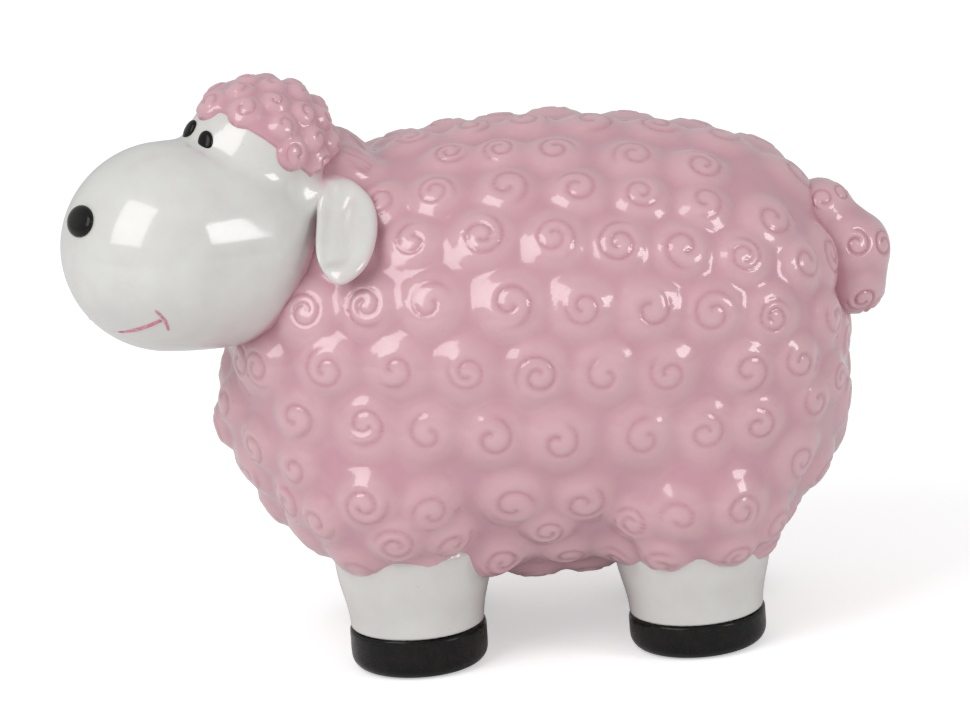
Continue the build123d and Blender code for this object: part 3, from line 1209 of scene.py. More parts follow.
@dataclass
class WoolBody:
    """Body casting with its coat of curls."""

    shape: BodyForm = BodyForm()
    style: CurlStyle = CurlStyle(rise=3.4 * MM, reach=13 * MM)
    row_slope: float = 8.0
    row_shares: tuple = (
        (16, (-0.25, -0.08, 0.10, 0.35, 0.56)),
        (30, (-0.48, -0.30, -0.07, 0.17, 0.37, 0.57, 0.78)),
        (45, (-0.60, -0.39, -0.16, 0.08, 0.29, 0.49, 0.69)),
        (63, (-0.75, -0.55, -0.34, -0.08, 0.15, 0.37, 0.58, 0.77)),
        (82, (-0.90, -0.69, -0.46, -0.24, -0.01, 0.21, 0.41, 0.67, 0.84)),
        (101, (-0.79, -0.57, -0.38, -0.17, 0.05, 0.32, 0.52, 0.69, 0.88)),
        (121, (-0.81, -0.60, -0.38, -0.12, 0.12, 0.42, 0.62, 0.81)),
        (145, (-0.64, -0.41, -0.16, 0.05, 0.22, 0.47, 0.68)),
        (165, (-0.28, -0.06, 0.12, 0.30)),
    )
    ridge_shares: tuple = (-0.37, -0.16, 0.01, 0.22, 0.44, 0.64)
    belly_shares: tuple = (-0.80, -0.42, -0.18, 0.02, 0.21, 0.42, 0.80)
    end_ring_share: float = 0.955
    end_ring_count: int = 5
    fill_gap: float = 17 * MM
    fill_tries: int = 2400
    groove_band: float = 0.8 * MM
    slow_swell: float = 0.25 * MM
    slow_length: float = 55 * MM
    quick_swell: float = 0.12 * MM
    quick_length: float = 14 * MM

    def spots(self) -> list[tuple[float, float]]:
        """Station along the body as a share, and angle down from the back, of each curl.

        Returns:
            One pair for each curl.
        """
        spots = []
        for angle, shares in self.row_shares:
            for share in shares:
                turn = angle + self.row_slope * share
                spots += [(share, turn), (share, -turn)]
        spots += [(share, 0.0) for share in self.ridge_shares]
        spots += [(share, 180.0) for share in self.belly_shares]
        for end in End:
            for step in range(self.end_ring_count):
                angle = 360 * (step + (end is End.REAR) / 2) / self.end_ring_count
                spots.append((end.value * self.end_ring_share, angle))
        return spots

    def curls(self, form: Form) -> CurlField:
        """Places the curls on the smooth form.

        Args:
            form: The form under the wool.

        Returns:
            The field of curls.
        """
        spots = self.spots()
        centre = np.array(self.shape.centre())
        stations = np.array([share for share, _ in spots]) * self.shape.half_length
        turns = np.radians([angle for _, angle in spots])
        origins = centre + np.stack([stations, 0 * stations, 0 * stations], axis=1)
        rays = np.stack([0 * turns, -np.sin(turns), np.cos(turns)], axis=1)
        places = skin(form, origins, rays, 2 * self.shape.radius)
        poles = np.array([[-1.0, 0, 0], [1.0, 0, 0]])
        places = np.concatenate([places, skin(form, centre[None], poles, 2 * self.shape.half_length)])
        places = places[self.clear(places)]
        places = self.filled(places, form)
        return CurlField(places, facing(form, places), self.style, seed=11)

    def filled(self, places: Array, form: Form) -> Array:
        """Adds curls where the rows leave the form bare.

        Args:
            places: Middles of the curls so far.
            form: The form under the wool.

        Returns:
            The middles with the added ones.
        """
        steps = np.arange(self.fill_tries)
        height = 1 - (2 * steps + 1) / len(steps)
        ring, turn = np.sqrt(1 - height**2), steps * GOLDEN
        rays = np.stack([height, ring * np.cos(turn), ring * np.sin(turn)], axis=1)
        centre = np.array(self.shape.centre())[None]
        spots = skin(form, centre, rays, 2 * self.shape.half_length)
        spots = spots[self.clear(spots)]
        gaps = np.linalg.norm(spots[:, None] - places[None], axis=2).min(axis=1)
        while gaps.max() > self.fill_gap:
            added = spots[gaps.argmax()]
            places = np.concatenate([places, added[None]])
            gaps = np.minimum(gaps, np.linalg.norm(spots - added, axis=1))
        return places

    def clear(self, places: Array) -> Array:
        """True where a curl has room beside the head, the collar and the tail.

        Args:
            places: Middles of curls.

        Returns:
            One flag for each row.
        """
        head, rounds = HeadForm(), list(Tail().rounds())
        frame_of_head = HeadPlace().frame()
        rounds += [
            (frame_of_head.translation, head.skull_radius),
            (frame_of_head @ head.cheek(), head.muzzle_radius),
            (frame_of_head @ head.tip(), head.muzzle_radius),
            (body_middle() + self.shape.collar_offset, self.shape.collar_radius),
        ]
        gaps = [Ball(centre, radius).distance(places) for centre, radius in rounds]
        return np.min(gaps, axis=0) > 0

    def build(self) -> Piece:
        """Models the coat: a smooth form, cut finer along the grooves and raised to the curls.

        Returns:
            The wool of the body.
        """
        form = self.shape.form()
        curls = self.curls(form)
        centre = self.shape.centre()
        size = Vector((self.shape.half_length, self.shape.radius, self.shape.radius + self.shape.lift))
        piece = ico_ball("wool_body", centre, size, 7)
        wool = WoolSkin(piece, form, curls, centre, 2 * self.shape.half_length)
        smooth, found = wool.cut((self.groove_band, 0.0))
        swell = self.slow_swell * (wave(smooth, self.slow_length, 1.3) - 1)
        swell += self.quick_swell * wave(smooth, self.quick_length, 4.1)
        wool.lift(smooth, found, swell)
        outward(piece)
        return piece


@dataclass
class Head:
    """White head with its cheeks, brow and eyeballs."""

    shape: HeadForm = HeadForm()
    heart: Vector = mm(20, 0, -15)
    swell: float = 0.2 * MM
    swell_length: float = 48 * MM
    spray_and_reflection_start: float = 3 * MM
    spray_and_reflection_fade: float = 1.2 * MM

    def build(self, wool: Form) -> Piece:
        """Models the head as one smooth form.

        Args:
            wool: Form of the body, for the pink beside it, partly overspray and partly painted
                reflection of the wool.

        Returns:
            The head.
        """
        form = self.shape.form()
        heart = HeadPlace().frame() @ self.heart
        piece = ico_ball("head", heart, Vector((1, 1, 1)) * self.shape.muzzle_radius, 7)
        points = laid(piece, form, heart, 4 * self.shape.muzzle_radius)
        swell = self.swell * (wave(points, self.swell_length, 0.4) - 1)
        points += facing(form, points) * swell[:, None]
        put_points(piece, points)
        # pink beside the wool: overspray and painted reflection of the wool's pink
        bare = np.maximum(wool.distance(points) - self.spray_and_reflection_start, 0)
        store(piece, "spray", np.exp(-bare / self.spray_and_reflection_fade))
        outward(piece)
        return piece


@dataclass
class WoolCap:
    """Cap of small curls over the skull, with a scalloped edge."""

    shape: HeadForm = HeadForm()
    style: CurlStyle = CurlStyle(
        rise=2.3 * MM,
        reach=7.4 * MM,
        valley_share=0.9,
        valley_fillet=0.34 * MM,
        spiral_radius=4.0 * MM,
        spiral_eye=0.9 * MM,
        least_turns=0.6,
        most_turns=1.1,
        groove_depth=0.6 * MM,
        disc_rise=0.3 * MM,
        disc_slope=1.2 * MM,
    )
    thickness: float = 1.4 * MM
    edge_thickness: float = 0.9 * MM
    count: int = 36
    tilt: float = 45.0
    edge: float = 0.03
    edge_drop: float = 0.3 * MM
    edge_reach: float = 28 * MM
    edge_fade: float = 1.5 * MM
    edge_wave: float = 0.8 * MM
    edge_wave_length: float = 17 * MM
    reach_fade: float = 3 * MM
    full_height: float = 14 * MM
    ear_clearance: float = 9 * MM
    ear_fade: float = 2 * MM
    sink: float = 2.0 * MM
    swell: float = 0.25 * MM
    swell_length: float = 12 * MM
    trim_depth: float = 13 * MM
    curl_reach: float = 60 * MM
    reach: float = 90 * MM
    bands: tuple = ((0.9 * MM, 0.9 * MM), (0.45 * MM, 0.45 * MM))

    def build(self) -> Piece:
        """Models the cap over the head's form and cuts off what the head hides.

        Returns:
            The cap.
        """
        form = self.shape.form()
        place = HeadPlace().frame()
        heart = at(place, self.shape.forehead_reach / 2, 0, 0)
        tilted = place.to_3x3() @ Matrix.Rotation(math.radians(-self.tilt), 3, "Y")
        rays = []
        for step in range(self.count):
            height = 1 - (step + 0.5) / self.count * (1 - self.edge)
            ring = math.sqrt(1 - height**2)
            turn = step * GOLDEN
            rays.append(tilted @ Vector((ring * math.cos(turn), ring * math.sin(turn), height)))
        places = skin(form, np.array(heart)[None], np.array(rays), self.curl_reach)
        curls = CurlField(places, facing(form, places), self.style, seed=5)
        piece = ico_ball("wool_cap_curls", heart, Vector((1, 1, 1)) * self.shape.skull_radius, 6)
        wool = WoolSkin(piece, form, curls, heart, self.reach)
        smooth, found = wool.cut(*self.bands)
        crown = tilted @ Vector((0, 0, 1))
        covered = self.covered(smooth, found, heart, crown)
        above = (smooth - np.array(heart)) @ np.array(crown)
        full = np.clip(above / self.full_height, 0, 1)
        thick = self.edge_thickness + (self.thickness - self.edge_thickness) * full
        lift = covered * (thick + self.sink) - self.sink
        lift += self.swell * wave(smooth, self.swell_length, 0.9) * covered
        wool.lift(smooth, found, lift)
        self.trim(piece, heart, crown)
        outward(piece)
        return piece

    def covered(self, smooth: Array, found: Relief, heart: Vector, crown: Vector) -> Array:
        """Where the cap lies on the head, clear of the roots of the ears.

        Args:
            smooth: Rows on the head's form.
            found: The relief of the cap's curls there.
            heart: Middle of the skull.
            crown: Direction of the cap's crown.

        Returns:
            A share for each row: 1 under the cap and 0 outside.
        """
        above = (smooth - np.array(heart)) @ np.array(crown)
        ragged = self.edge_drop + self.edge_wave * wave(smooth, self.edge_wave_length, 2.2)
        inside = np.clip((above + ragged) / self.edge_fade, 0, 1)
        out = np.linalg.norm(smooth - np.array(heart), axis=1) - self.edge_reach
        inside *= np.clip(1 - out / self.reach_fade, 0, 1)
        covered = np.maximum(found.covered, inside)
        for side in Side:
            root = np.array(Ear(side).frame().translation)
            clear = np.linalg.norm(smooth - root, axis=1) - self.ear_clearance
            covered = covered * np.clip(clear / self.ear_fade, 0, 1)
        return covered

    def trim(self, piece: Piece, heart: Vector, crown: Vector) -> None:
        """Cuts off the part of the cap's mesh that lies deep inside the head.

        Args:
            piece: The cap.
            heart: Middle of the skull.
            crown: Direction of the cap's crown.
        """
        level = heart - crown * self.trim_depth
        with edited(piece):
            bpy.ops.mesh.bisect(plane_co=level, plane_no=crown, clear_inner=True, use_fill=True)
            bpy.ops.mesh.select_all(action="SELECT")
            bpy.ops.mesh.quads_convert_to_tris()


@dataclass
class Ear:
    """Drooping ear with a rolled rim and a hollow face."""

    side: Side
    length: float = 46 * MM
    width: float = 23 * MM
    thickness: float = 8.2 * MM
    root: Vector = mm(-9.6, 22.8, -11.3)
    droop: float = 34.0
    sweep: float = 35.0
    middle_share: tuple = (0.2, 0.42)
    outline_shares: tuple = (
        (-0.22, -0.11),
        (0.22, -0.09),
        (0.62, 0.14),
        (0.72, 0.46),
        (0.56, 0.78),
        (0.16, 0.93),
        (-0.18, 0.70),
        (-0.22, 0.26),
    )
    hollow_depth: float = 4.0 * MM
    hollow_half_width: float = 4.9 * MM
    hollow_line: float = 1.6 * MM
    hollow_shift: float = 2.5 * MM
    hollow_shift_fade: float = 9 * MM
    hollow_end: float = 0.86
    hollow_end_fade: float = 8 * MM
    hollow_root: float = 2 * MM
    hollow_root_fade: float = 13 * MM
    cup: float = 0.0045 / MM
    cup_line: float = 4 * MM
    flare: float = 2.0 * MM
    flare_reach: float = 7 * MM
    rim_start: float = 0.8
    rim_fade: float = 0.2
    rim_line: float = 2 * MM
    rim_line_fade: float = 12 * MM
    rim_spray: float = 0.35
    wool_spray_and_reflection: float = 0.8
    wool_spray_start: float = 3.2 * MM
    wool_spray_fade: float = 1.0 * MM

    def frame(self) -> Matrix:
        """Frame of the ear: X across it, Y along it, Z off its back."""
        place = HeadPlace().frame()
        axes = place.to_3x3()
        face_way, left_way, up = axes.col[0], axes.col[1], axes.col[2]
        droop, sweep = math.radians(self.droop), math.radians(self.sweep)
        sign = self.side.value
        along = (
            face_way * (math.cos(droop) * math.sin(sweep))
            + left_way * (sign * math.cos(droop) * math.cos(sweep))
            - up * math.sin(droop)
        )
        across = -face_way * math.cos(sweep) + left_way * (sign * math.sin(sweep))
        off = across.cross(along) * sign
        matrix = Matrix((across, along, off)).transposed().to_4x4()
        matrix.translation = at(place, self.root.x, sign * self.root.y, self.root.z)
        return matrix

    def rim(self) -> tuple[Array, Array]:
        """Outline of the ear as bearings and distances from its middle.

        Returns:
            Bearings in rising order and the distance at each.
        """
        corners = np.array(self.outline_shares) * [self.width, self.length]
        corners -= np.array(self.middle_share) * [self.width, self.length]
        steps = np.linspace(0, 1, 24, endpoint=False)[:, None]
        points = []
        for index in range(len(corners)):
            before, start, end, after = (corners[(index + k) % len(corners)] for k in (-1, 0, 1, 2))
            bend = 2 * before - 5 * start + 4 * end - after
            twist = 3 * start - before - 3 * end + after
            curve = 2 * start + (end - before) * steps + bend * steps**2 + twist * steps**3
            points.append(curve / 2)
        ring = np.concatenate(points)
        bearing = np.arctan2(ring[:, 1], ring[:, 0])
        order = np.argsort(bearing)
        return bearing[order], np.linalg.norm(ring, axis=1)[order]

    def build(self, wool: Form) -> Piece:
        """Models the ear from a ball that is flattened to the outline and hollowed.

        Args:
            wool: Form of the body, for the pink beside it, partly overspray and partly painted
                reflection of the wool.

        Returns:
            The ear.
        """
        leaf = f"{self.side.name.lower()}_ear_leaf"
        ball = {"segments": 160, "ring_count": 96, "radius": 1}
        piece = added(leaf, bpy.ops.mesh.primitive_uv_sphere_add, **ball)
        round_points, place = points_of(piece), self.frame()
        share, upper = np.hypot(round_points[:, 0], round_points[:, 1]), np.sign(round_points[:, 2])
        local = self.leaf(round_points)
        points = moved(local, place)
        gap = np.abs(HeadForm().form().distance(points))
        close = np.clip(1 - gap / self.flare_reach, 0, 1) ** 2
        flare = self.flare * close * upper * np.clip(1 - share**3, 0, 1)
        points += np.array(place)[:3, 2] * flare[:, None]
        put_points(piece, points)
        # pink on the rim is overspray; pink beside the wool is overspray and painted reflection of the
        # wool's pink
        edge = np.clip((share - self.rim_start) / self.rim_fade, 0, 1)
        edge *= np.clip((local[:, 0] + self.rim_line) / self.rim_line_fade, 0, 1)
        bare = np.maximum(wool.distance(points) - self.wool_spray_start, 0)
        near = np.exp(-bare / self.wool_spray_fade)
        store(piece, "spray", np.maximum(self.rim_spray * edge, self.wool_spray_and_reflection * near))
        outward(piece)
        return piece

    def leaf(self, ball: Array) -> Array:
        """Flattens a ball to the ear's outline, hollows its face and cups it.

        Args:
            ball: Rows on a ball of radius one.

        Returns:
            Rows in the ear's own frame.
        """
        bearings, reaches = self.rim()
        bearing = np.arctan2(ball[:, 1], ball[:, 0])
        reach = np.interp(bearing, bearings, reaches, period=2 * math.pi)
        share = np.hypot(ball[:, 0], ball[:, 1])
        middle = np.array(self.middle_share) * [self.width, self.length]
        across = middle[0] + np.cos(bearing) * reach * share
        along = middle[1] + np.sin(bearing) * reach * share
        upper = np.sign(ball[:, 2])
        crown = self.thickness / 2 * np.clip(1 - share**3.2, 0, 1) ** 0.45
        line = self.hollow_line + self.hollow_shift * np.exp(-along / self.hollow_shift_fade)
        trough = 1 / (1 + (np.abs(across - line) / self.hollow_half_width) ** 3.5)
        trough *= eased((self.length * self.hollow_end - along) / self.hollow_end_fade)
        trough *= eased((along + self.hollow_root) / self.hollow_root_fade)
        height = upper * crown + (upper < 0) * self.hollow_depth * trough
        curve = -self.cup * (across - self.cup_line) ** 2
        return np.stack([across, along, height + curve], axis=1)


@dataclass
class Tail:
    """Drooping bob of a few large curls."""

    offset: Vector = mm(109.5, 0, 131)
    radius: float = 15.7 * MM
    upper_radius: float = 13.2 * MM
    lower_radius: float = 15.0 * MM
    upper_step: Vector = mm(-9.5, 0, 12.5)
    lower_step: Vector = mm(-0.5, 0, -11)
    softness: float = 9 * MM
    style: CurlStyle = CurlStyle(
        rise=1.6 * MM, reach=10 * MM, spiral_radius=6.4 * MM, disc_rise=0.2 * MM
    )
    curl_reach: float = 40 * MM
    reach: float = 90 * MM
    bands: tuple = ((1.0 * MM, 1.0 * MM), (0.6 * MM, 0.6 * MM))
    curl_ways: tuple = (
        (0, (0.25, 0.95, 0.3)),
        (0, (0.9, 0.45, 0.1)),
        (1, (0.3, 0.8, 0.7)),
        (1, (0.85, 0.35, 0.75)),
        (2, (0.35, 0.9, -0.3)),
        (2, (0.8, 0.4, -0.75)),
    )

    def rounds(self) -> tuple[tuple[Vector, float], ...]:
        """Centres and radii of the three rounds of the bob."""
        middle = body_middle() + self.offset
        return (
            (middle, self.radius),
            (middle + self.upper_step, self.upper_radius),
            (middle + self.lower_step, self.lower_radius),
        )

    def build(self) -> Piece:
        """Models the bob with its curls.

        Returns:
            The tail.
        """
        rounds = self.rounds()
        inner = tuple(Ball(centre, radius - self.style.rise) for centre, radius in rounds)
        form = Blended(inner, self.softness)
        heart = rounds[0][0]
        origins, rays = [], []
        for index, way in self.curl_ways:
            for side in (-1, 1):
                origins.append(rounds[index][0])
                rays.append(Vector((way[0], side * way[1], way[2])).normalized())
        places = skin(form, np.array(origins), np.array(rays), self.curl_reach)
        curls = CurlField(places, facing(form, places), self.style, seed=3)
        piece = ico_ball("tail_bob", heart, Vector((1, 1, 2)) * self.radius, 6)
        wool = WoolSkin(piece, form, curls, heart, self.reach)
        wool.lift(*wool.cut(*self.bands))
        outward(piece)
        return piece


def turned(name: str, place: Vector, rings: list[tuple[float, float]], sides: int) -> Piece:
    """Raises a closed round form from a disc, ring by ring.

    Args:
        name: Name of the piece.
        place: Point on the ground under its middle.
        rings: Radius and height of each ring, from the bottom up.
        sides: Vertices in a ring.

    Returns:
        The closed form.
    """
    radius, height = rings[0]
    ground = Vector((place.x, place.y, height))
    disc = {"vertices": sides, "radius": radius, "fill_type": "NGON", "location": ground}
    piece = added(name, bpy.ops.mesh.primitive_circle_add, **disc)
    bpy.ops.object.transform_apply(location=True, rotation=True, scale=True)
    with edited(piece):
        for next_radius, next_height in rings[1:]:
            rise = {"value": (0, 0, next_height - height)}
            bpy.ops.mesh.extrude_region_move(TRANSFORM_OT_translate=rise)
            grow = next_radius / radius
            centre = (place.x, place.y, next_height)
            bpy.ops.transform.resize(value=(grow, grow, 1), center_override=centre)
            radius, height = next_radius, next_height
    outward(piece)
    return piece


@dataclass
class Leg:
    """White leg and its black hoof."""

    end: End
    side: Side
    profile: tuple = (
        (0.0, 23.3 * MM),
        (1.0 * MM, 23.4 * MM),
        (5 * MM, 23.7 * MM),
        (10 * MM, 24.7 * MM),
        (15 * MM, 26.1 * MM),
        (20 * MM, 27.2 * MM),
        (27 * MM, 27.9 * MM),
        (36 * MM, 28.4 * MM),
    )
    sides: int = 48
    levels: int = 2
    foot_sink: float = 0.4 * MM
    uneven: float = 0.008
    uneven_length: float = 60 * MM
    spray_and_reflection_height: float = 44 * MM
    spray_and_reflection_fade: float = 6 * MM
    edge_radius: float = 5 * MM
    edge_steps: int = 5
    sole_inset: float = 4 * MM
    wall_share: float = 0.6
    bead: float = 0.5 * MM
    bead_drops: tuple = (1.6 * MM, 0.8 * MM)
    lip_inset: float = 3 * MM
    lip_rise: float = 0.2 * MM
    ragged: float = 0.22 * MM
    ragged_start: float = 0.55
    ragged_span: float = 0.45

    def node(self, part: str) -> str:
        """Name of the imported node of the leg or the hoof."""
        return f"{self.end.name.lower()}_{self.side.name.lower()}_{part}"

    def build_leg(self) -> Piece:
        """Models the leg: a post that flares gently into the wool.

        Returns:
            The leg.
        """
        low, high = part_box(self.node("leg"))
        place, foot = (low + high) / 2, low.z
        rings = [(radius, foot - self.foot_sink + height) for height, radius in self.profile]
        piece = turned(self.node("leg") + "_post", place, rings, self.sides)
        subdivided(piece, self.levels)
        points = points_of(piece)
        seed = 0.7 + self.end.value + self.side.value
        spread = 1 + self.uneven * wave(points, self.uneven_length, seed)
        points[:, :2] = np.array(place)[:2] + (points[:, :2] - np.array(place)[:2]) * spread[:, None]
        put_points(piece, points)
        # pink towards the top of the leg, under the wool: overspray and painted reflection of the
        # wool's pink
        store(piece, "spray", (points[:, 2] - self.spray_and_reflection_height) / self.spray_and_reflection_fade)
        return piece

    def build_hoof(self) -> Piece:
        """Models the hoof with its rounded sole and the bead of glaze at its top.

        Returns:
            The hoof.
        """
        low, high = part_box(self.node("hoof"))
        place, top = (low + high) / 2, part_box(self.node("leg"))[0].z
        radius, edge = (high.x - low.x) / 2, self.edge_radius
        rings = [(radius - edge - self.sole_inset, 0.0)]
        for step in range(self.edge_steps):
            turn = math.radians(90 * step / (self.edge_steps - 1))
            rings.append((radius - edge * (1 - math.sin(turn)), edge * (1 - math.cos(turn))))
        rings.append((radius, top * self.wall_share))
        rings += [(radius, top - drop) for drop in self.bead_drops]
        rings += [(radius - self.bead, top), (radius - self.lip_inset, top + self.lip_rise)]
        piece = turned(self.node("hoof") + "_shoe", place, rings, self.sides)
        subdivided(piece, self.levels)
        points = points_of(piece)
        bearing = np.arctan2(points[:, 1] - place.y, points[:, 0] - place.x)
        ragged = np.sin(5 * bearing + 1.3 * self.end.value) + np.sin(3 * bearing + self.side.value)
        above = points[:, 2] - top * self.ragged_start
        lift = np.clip(above / (top * self.ragged_span), 0, 1)
        points[:, 2] += self.ragged * ragged * lift
        put_points(piece, points)
        return piece


@dataclass
class Face:
    """Nose, pupils and mouth."""

    shape: HeadForm = HeadForm()
    nose_width: float = 15.2 * MM
    nose_height: float = 11.4 * MM
    nose_rise: float = 2.4 * MM
    nose_elevation: float = 27.0
    eye_width: float = 6.5 * MM
    eye_height: float = 8.3 * MM
    eye_rise: float = 1.5 * MM
    eye_slant: float = 18.0
    smile_slope: float = 39.0
    smile_drop: float = 2.8 * MM
    smile_half_span: float = 26.3 * MM
    smile_gap: float = 0.2
    smile_width: float = 1.35 * MM
    smile_rise: float = 0.3 * MM
    dimple_length: float = 10.4 * MM
    dimple_lean: float = 1.4 * MM
    dimple_bow: float = 0.7 * MM
    dimple_drop: float = 0.5 * MM
    dimple_width: float = 0.8
    seat: float = 0.3 * MM
    brush_tip: float = 0.45
    brush_light: float = 0.25
    light_fade: float = 0.15
    end_fade: float = 0.03
    film: float = 0.02 * MM
    film_sink: float = 0.4 * MM
    enamel: float = 0.6 * MM

    def button(self, name: str, spot: Matrix, size: Vector) -> Piece:
        """Flat oval button of thick glaze.

        Args:
            name: Name of the piece.
            spot: Frame of the button, with Z out of the surface.
            size: Half width, half height and half thickness.

        Returns:
            The button.
        """
        settings = {"segments": 64, "ring_count": 32, "radius": 1}
        piece = added(name, bpy.ops.mesh.primitive_uv_sphere_add, **settings)
        ball = points_of(piece)
        flat = np.hypot(ball[:, 0], ball[:, 1])
        ball[:, 2] = np.sign(ball[:, 2]) * np.clip(1 - flat**2.4, 0, 1) ** 0.5
        put_points(piece, moved(ball * np.array(size), spot))
        outward(piece)
        return piece

    def build_nose(self) -> Piece:
        """Models the nose on the front of the muzzle."""
        tip = Matrix.Translation(self.shape.tip())
        lift = spin(90 - self.nose_elevation, "Y")
        reach = Matrix.Translation((0, 0, self.shape.muzzle_radius - self.seat))
        spot = HeadPlace().frame() @ tip @ lift @ reach
        size = Vector((self.nose_height / 2, self.nose_width / 2, self.nose_rise))
        return self.button("nose_button", spot, size)

    def build_eye(self, side: Side) -> Piece:
        """Models the painted pupil of one eye on its eyeball."""
        depth = self.shape.forehead_radius + self.shape.eyeball_rise - self.seat
        reach = Matrix.Translation((0, 0, depth))
        slant = spin(side.value * self.eye_slant, "Z")
        facing_out = spin(90, "Y")
        spot = self.shape.eye_frame(side) @ facing_out @ reach @ slant
        size = Vector((self.eye_height / 2, self.eye_width / 2, self.eye_rise))
        return self.button(f"{side.name.lower()}_pupil", spot, size)

    def stroke(
        self, name: str, path: Callable[[Array], Array], width: float, gap: float = 0.0
    ) -> Piece:
        """Lays one brush stroke on the head.

        Args:
            name: Name of the stroke.
            path: Gives points near the head's surface for shares from 0 to 1.
            width: Width of the stroke where it is widest.
            gap: Share to each side of its middle where the brush hardly touched.

        Returns:
            The stroke, a thin closed band of enamel.
        """
        form = self.shape.form()
        settings = {"x_subdivisions": 64, "y_subdivisions": 8, "size": 2}
        piece = added(name, bpy.ops.mesh.primitive_grid_add, **settings)
        grid = points_of(piece)
        share, across = (grid[:, 0] + 1) / 2, grid[:, 1]
        spine = self.on_head(form, path(share))
        ahead = self.on_head(form, path(np.minimum(share + 0.01, 1.01)))
        normal = facing(form, spine)
        side = unit(np.cross(normal, ahead - spine))
        full = np.clip(np.sin(math.pi * share), 0, 1) ** 0.7
        taper = self.brush_tip + (1 - self.brush_tip) * full
        lifted = np.zeros(len(share))
        if gap:
            aside = np.abs(share - 0.5)
            full = np.clip((aside - gap) / self.light_fade, 0, 1) ** 0.8
            taper = self.brush_light + (1 - self.brush_light) * full
            lifted = np.clip((gap - aside) / self.end_fade, 0, 1)
        uneven = 1 + 0.12 * np.sin(17 * share) + 0.08 * np.sin(41 * share)
        spread = side * (across * width / 2 * taper * uneven)[:, None]
        band = self.on_head(form, spine + spread)
        rise = self.smile_rise * np.clip(1 - across**2, 0, 1) ** 0.5
        ends = np.clip(np.minimum(share, 1 - share) / self.end_fade, 0, 1) ** 0.5
        rise = rise * ends - self.film - self.film_sink * lifted
        put_points(piece, band + facing(form, band) * rise[:, None])
        pick_only(piece)
        wall = piece.modifiers.new("enamel", "SOLIDIFY")
        wall.thickness = self.enamel
        wall.offset = -1
        bpy.ops.object.modifier_apply(modifier=wall.name)
        outward(piece)
        return piece

    def on_head(self, form: Form, points: Array) -> Array:
        """Moves points near the head onto its surface along rays from the muzzle's middle."""
        heart = np.array(HeadPlace().frame() @ self.shape.tip())
        return skin(form, heart[None], unit(points - heart), 3 * self.shape.muzzle_radius)

    def build_smile(self) -> Piece:
        """Models the mouth: one long stroke and a short one across each end.

        Returns:
            The three strokes as one piece.
        """
        tip = Matrix.Translation(self.shape.tip())
        slope = spin(self.smile_slope, "Y")
        place = HeadPlace().frame() @ tip @ slope
        radius, half = self.shape.muzzle_radius, self.smile_half_span

        def on_round(y: Array, z: Array) -> Array:
            """Points of the muzzle's round, by how far left and up they are."""
            return moved(np.stack([np.sqrt(radius**2 - y**2), y, z], axis=1), place)

        def long_stroke(share: Array) -> Array:
            """Points along the mouth."""
            y = half * (2 * share - 1)
            return on_round(y, 0 * y - self.smile_drop)

        strokes = [self.stroke("smile_line", long_stroke, self.smile_width, self.smile_gap)]
        for side in Side:

            def dimple(share: Array, sign: int = side.value) -> Array:
                """Points along one dimple."""
                z = self.dimple_length * (share - 0.5) - self.dimple_drop - self.smile_drop
                bow = self.dimple_bow * (1 - (2 * share - 1) ** 2)
                y = sign * (half + self.dimple_lean * (share - 0.5) + bow)
                return on_round(y, z)

            width = self.dimple_width * self.smile_width
            strokes.append(self.stroke(f"dimple_{side.name.lower()}", dimple, width))
        pick_only(strokes[0])
        for other in strokes[1:]:
            other.select_set(True)
        bpy.ops.object.join()
        return strokes[0]


# Studio


@dataclass(frozen=True)
class SoftBox:
    """Large soft lamp, placed by its bearing from the camera's line of sight."""

    name: str
    right: float
    up: float
    toward: float
    width: float
    height: float
    power: float


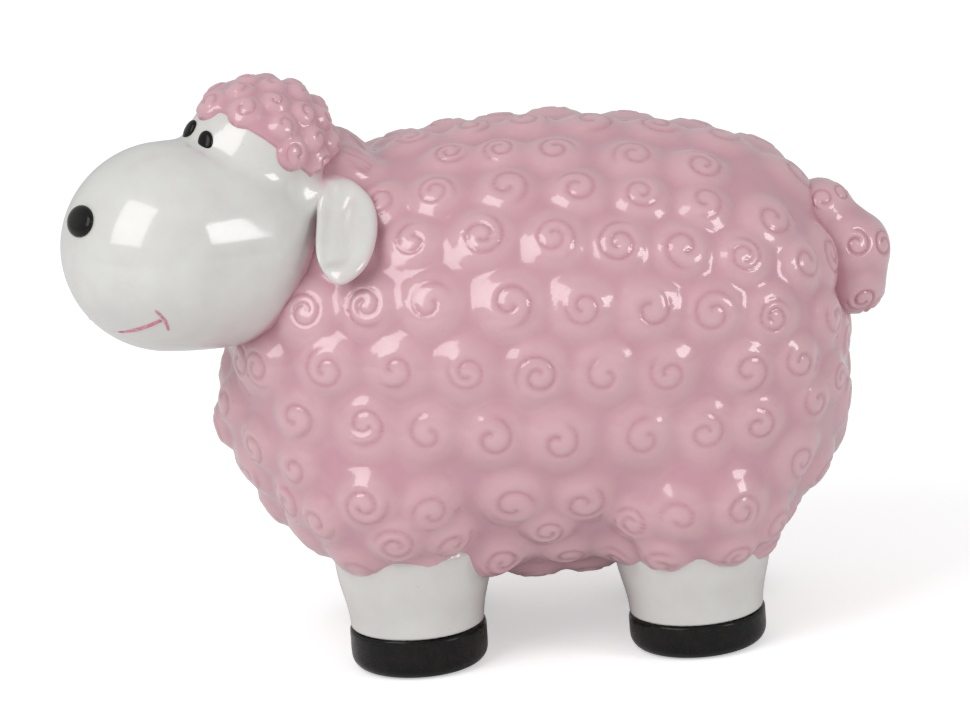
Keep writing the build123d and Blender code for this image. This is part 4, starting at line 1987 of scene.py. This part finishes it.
@dataclass
class Studio:
    """White floor, soft boxes and the camera at the photograph's viewing angle."""

    elevation: float = 17.0
    roll: float = 4.1
    image_width: int = 970
    pixel: float = 0.35 * MM
    aim: Vector = mm(0.6, 0.2, 102.1)
    distance: float = 12.0
    sensor: float = 36.0
    fill: float = 0.55
    floor_size: float = 12
    floor_mottle: float = 0.4
    floor_tones: tuple = (0.86, 0.88)
    floor_glow: float = 0.45
    lamp_distance: float = 1.6
    lamps: tuple = (
        SoftBox("left_box", -0.585, 0.402, 0.704, 1.0, 1.25, 12.5),
        SoftBox("right_box", 0.762, 0.248, 0.598, 0.5, 0.55, 4.5),
    )

    def axes(self) -> Matrix:
        """Right, up and back of the camera as the columns of a matrix."""
        lift, roll = math.radians(self.elevation), math.radians(self.roll)
        back = Vector((0, -math.cos(lift), math.sin(lift)))
        flat_up = Vector((0, math.sin(lift), math.cos(lift)))
        across = Vector((1, 0, 0))
        right = across * math.cos(roll) - flat_up * math.sin(roll)
        up = across * math.sin(roll) + flat_up * math.cos(roll)
        return Matrix((right, up, back)).transposed()

    def build(self) -> None:
        """Sets up the camera, the lamps, the world and the floor."""
        self.add_camera()
        for lamp in self.lamps:
            self.add_lamp(lamp)
        self.add_world()
        self.add_floor()
        bpy.context.scene.view_settings.view_transform = "Standard"

    def add_camera(self) -> None:
        """Adds the camera."""
        camera = bpy.data.cameras.new("camera")
        holder = bpy.data.objects.new("camera", camera)
        bpy.context.scene.collection.objects.link(holder)
        camera.sensor_width = self.sensor
        camera.lens = camera.sensor_width * self.distance / (self.image_width * self.pixel)
        axes = self.axes()
        matrix = axes.to_4x4()
        matrix.translation = self.aim + axes.col[2] * self.distance
        holder.matrix_world = matrix
        bpy.context.scene.camera = holder

    def add_lamp(self, lamp: SoftBox) -> None:
        """Adds one soft box, aimed at the figure.

        Args:
            lamp: The soft box.
        """
        light = bpy.data.lights.new(lamp.name, "AREA")
        light.shape = "RECTANGLE"
        light.size, light.size_y = lamp.width, lamp.height
        light.energy = lamp.power
        holder = bpy.data.objects.new(lamp.name, light)
        bpy.context.scene.collection.objects.link(holder)
        way = (self.axes() @ Vector((lamp.right, lamp.up, lamp.toward))).normalized()
        holder.location = self.aim + way * self.lamp_distance
        holder.rotation_euler = way.to_track_quat("Z", "Y").to_euler()

    def add_world(self) -> None:
        """Adds a soft surround that the camera sees as white."""
        world = bpy.data.worlds.new("surround")
        bpy.context.scene.world = world
        world.use_nodes = True
        tree = world.node_tree
        tree.nodes.clear()
        path = tree.nodes.new("ShaderNodeLightPath")
        mix = tree.nodes.new("ShaderNodeMixShader")
        end = tree.nodes.new("ShaderNodeOutputWorld")
        for socket, strength in zip(mix.inputs[1:], (self.fill, 1.0)):
            light = tree.nodes.new("ShaderNodeBackground")
            light.inputs["Strength"].default_value = strength
            light.inputs["Color"].default_value = (1, 1, 1, 1)
            tree.links.new(light.outputs[0], socket)
        tree.links.new(path.outputs["Is Camera Ray"], mix.inputs[0])
        tree.links.new(mix.outputs[0], end.inputs["Surface"])

    def add_floor(self) -> None:
        """Adds the white floor, which keeps the figure's shadow."""
        plane = {"size": self.floor_size, "location": (0, 0, 0)}
        floor = added("floor", bpy.ops.mesh.primitive_plane_add, **plane)
        sheet = NodeSheet("floor_white")
        path = sheet.add("ShaderNodeLightPath")
        paper = sheet.add("ShaderNodeBsdfDiffuse")
        tint = sheet.grey(sheet.patches(self.floor_mottle, *self.floor_tones))
        sheet.join(tint, paper.inputs["Color"])
        glow = sheet.add("ShaderNodeEmission")
        strength = sheet.product(path.outputs["Is Camera Ray"], self.floor_glow)
        sheet.join(strength, glow.inputs["Strength"])
        both = sheet.add("ShaderNodeAddShader")
        sheet.join(paper.outputs[0], both.inputs[0])
        sheet.join(glow.outputs[0], both.inputs[1])
        end = sheet.add("ShaderNodeOutputMaterial")
        sheet.join(both.outputs[0], end.inputs["Surface"])
        floor.data.materials.append(sheet.material)
        floor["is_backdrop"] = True


def main() -> None:
    """Builds every piece in order, then the studio."""
    wool_glaze = WoolGlaze().material()
    white_glaze = WhiteGlaze("white_glaze").material()
    black_glaze = BlackGlaze("black_glaze").material()
    body_form = BodyForm().form()

    settle(WoolBody().build(), "body_shell", wool_glaze)
    settle(Head().build(body_form), "head_shell", white_glaze)
    settle(WoolCap().build(), "wool_cap", wool_glaze)
    settle(Tail().build(), "tail", wool_glaze)
    for side in Side:
        name = side.name.lower()
        settle(Ear(side).build(body_form), f"{name}_ear", white_glaze)
        settle(Face().build_eye(side), f"{name}_eye", black_glaze)
    settle(Face().build_nose(), "nose", black_glaze)
    settle(Face().build_smile(), "smile", MouthEnamel().material())
    for end in End:
        for side in Side:
            leg = Leg(end, side)
            settle(leg.build_leg(), leg.node("leg"), white_glaze)
            settle(leg.build_hoof(), leg.node("hoof"), black_glaze)
    Studio().build()

    boxes = {"cad": cad_box, "visual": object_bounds()}
    for name, (low, high) in boxes.items():
        log.info("%s box %s to %s", name, tuple(low), tuple(high))


if __name__ == "__main__":
    logging.basicConfig(level=logging.INFO, format="%(message)s")
    main()
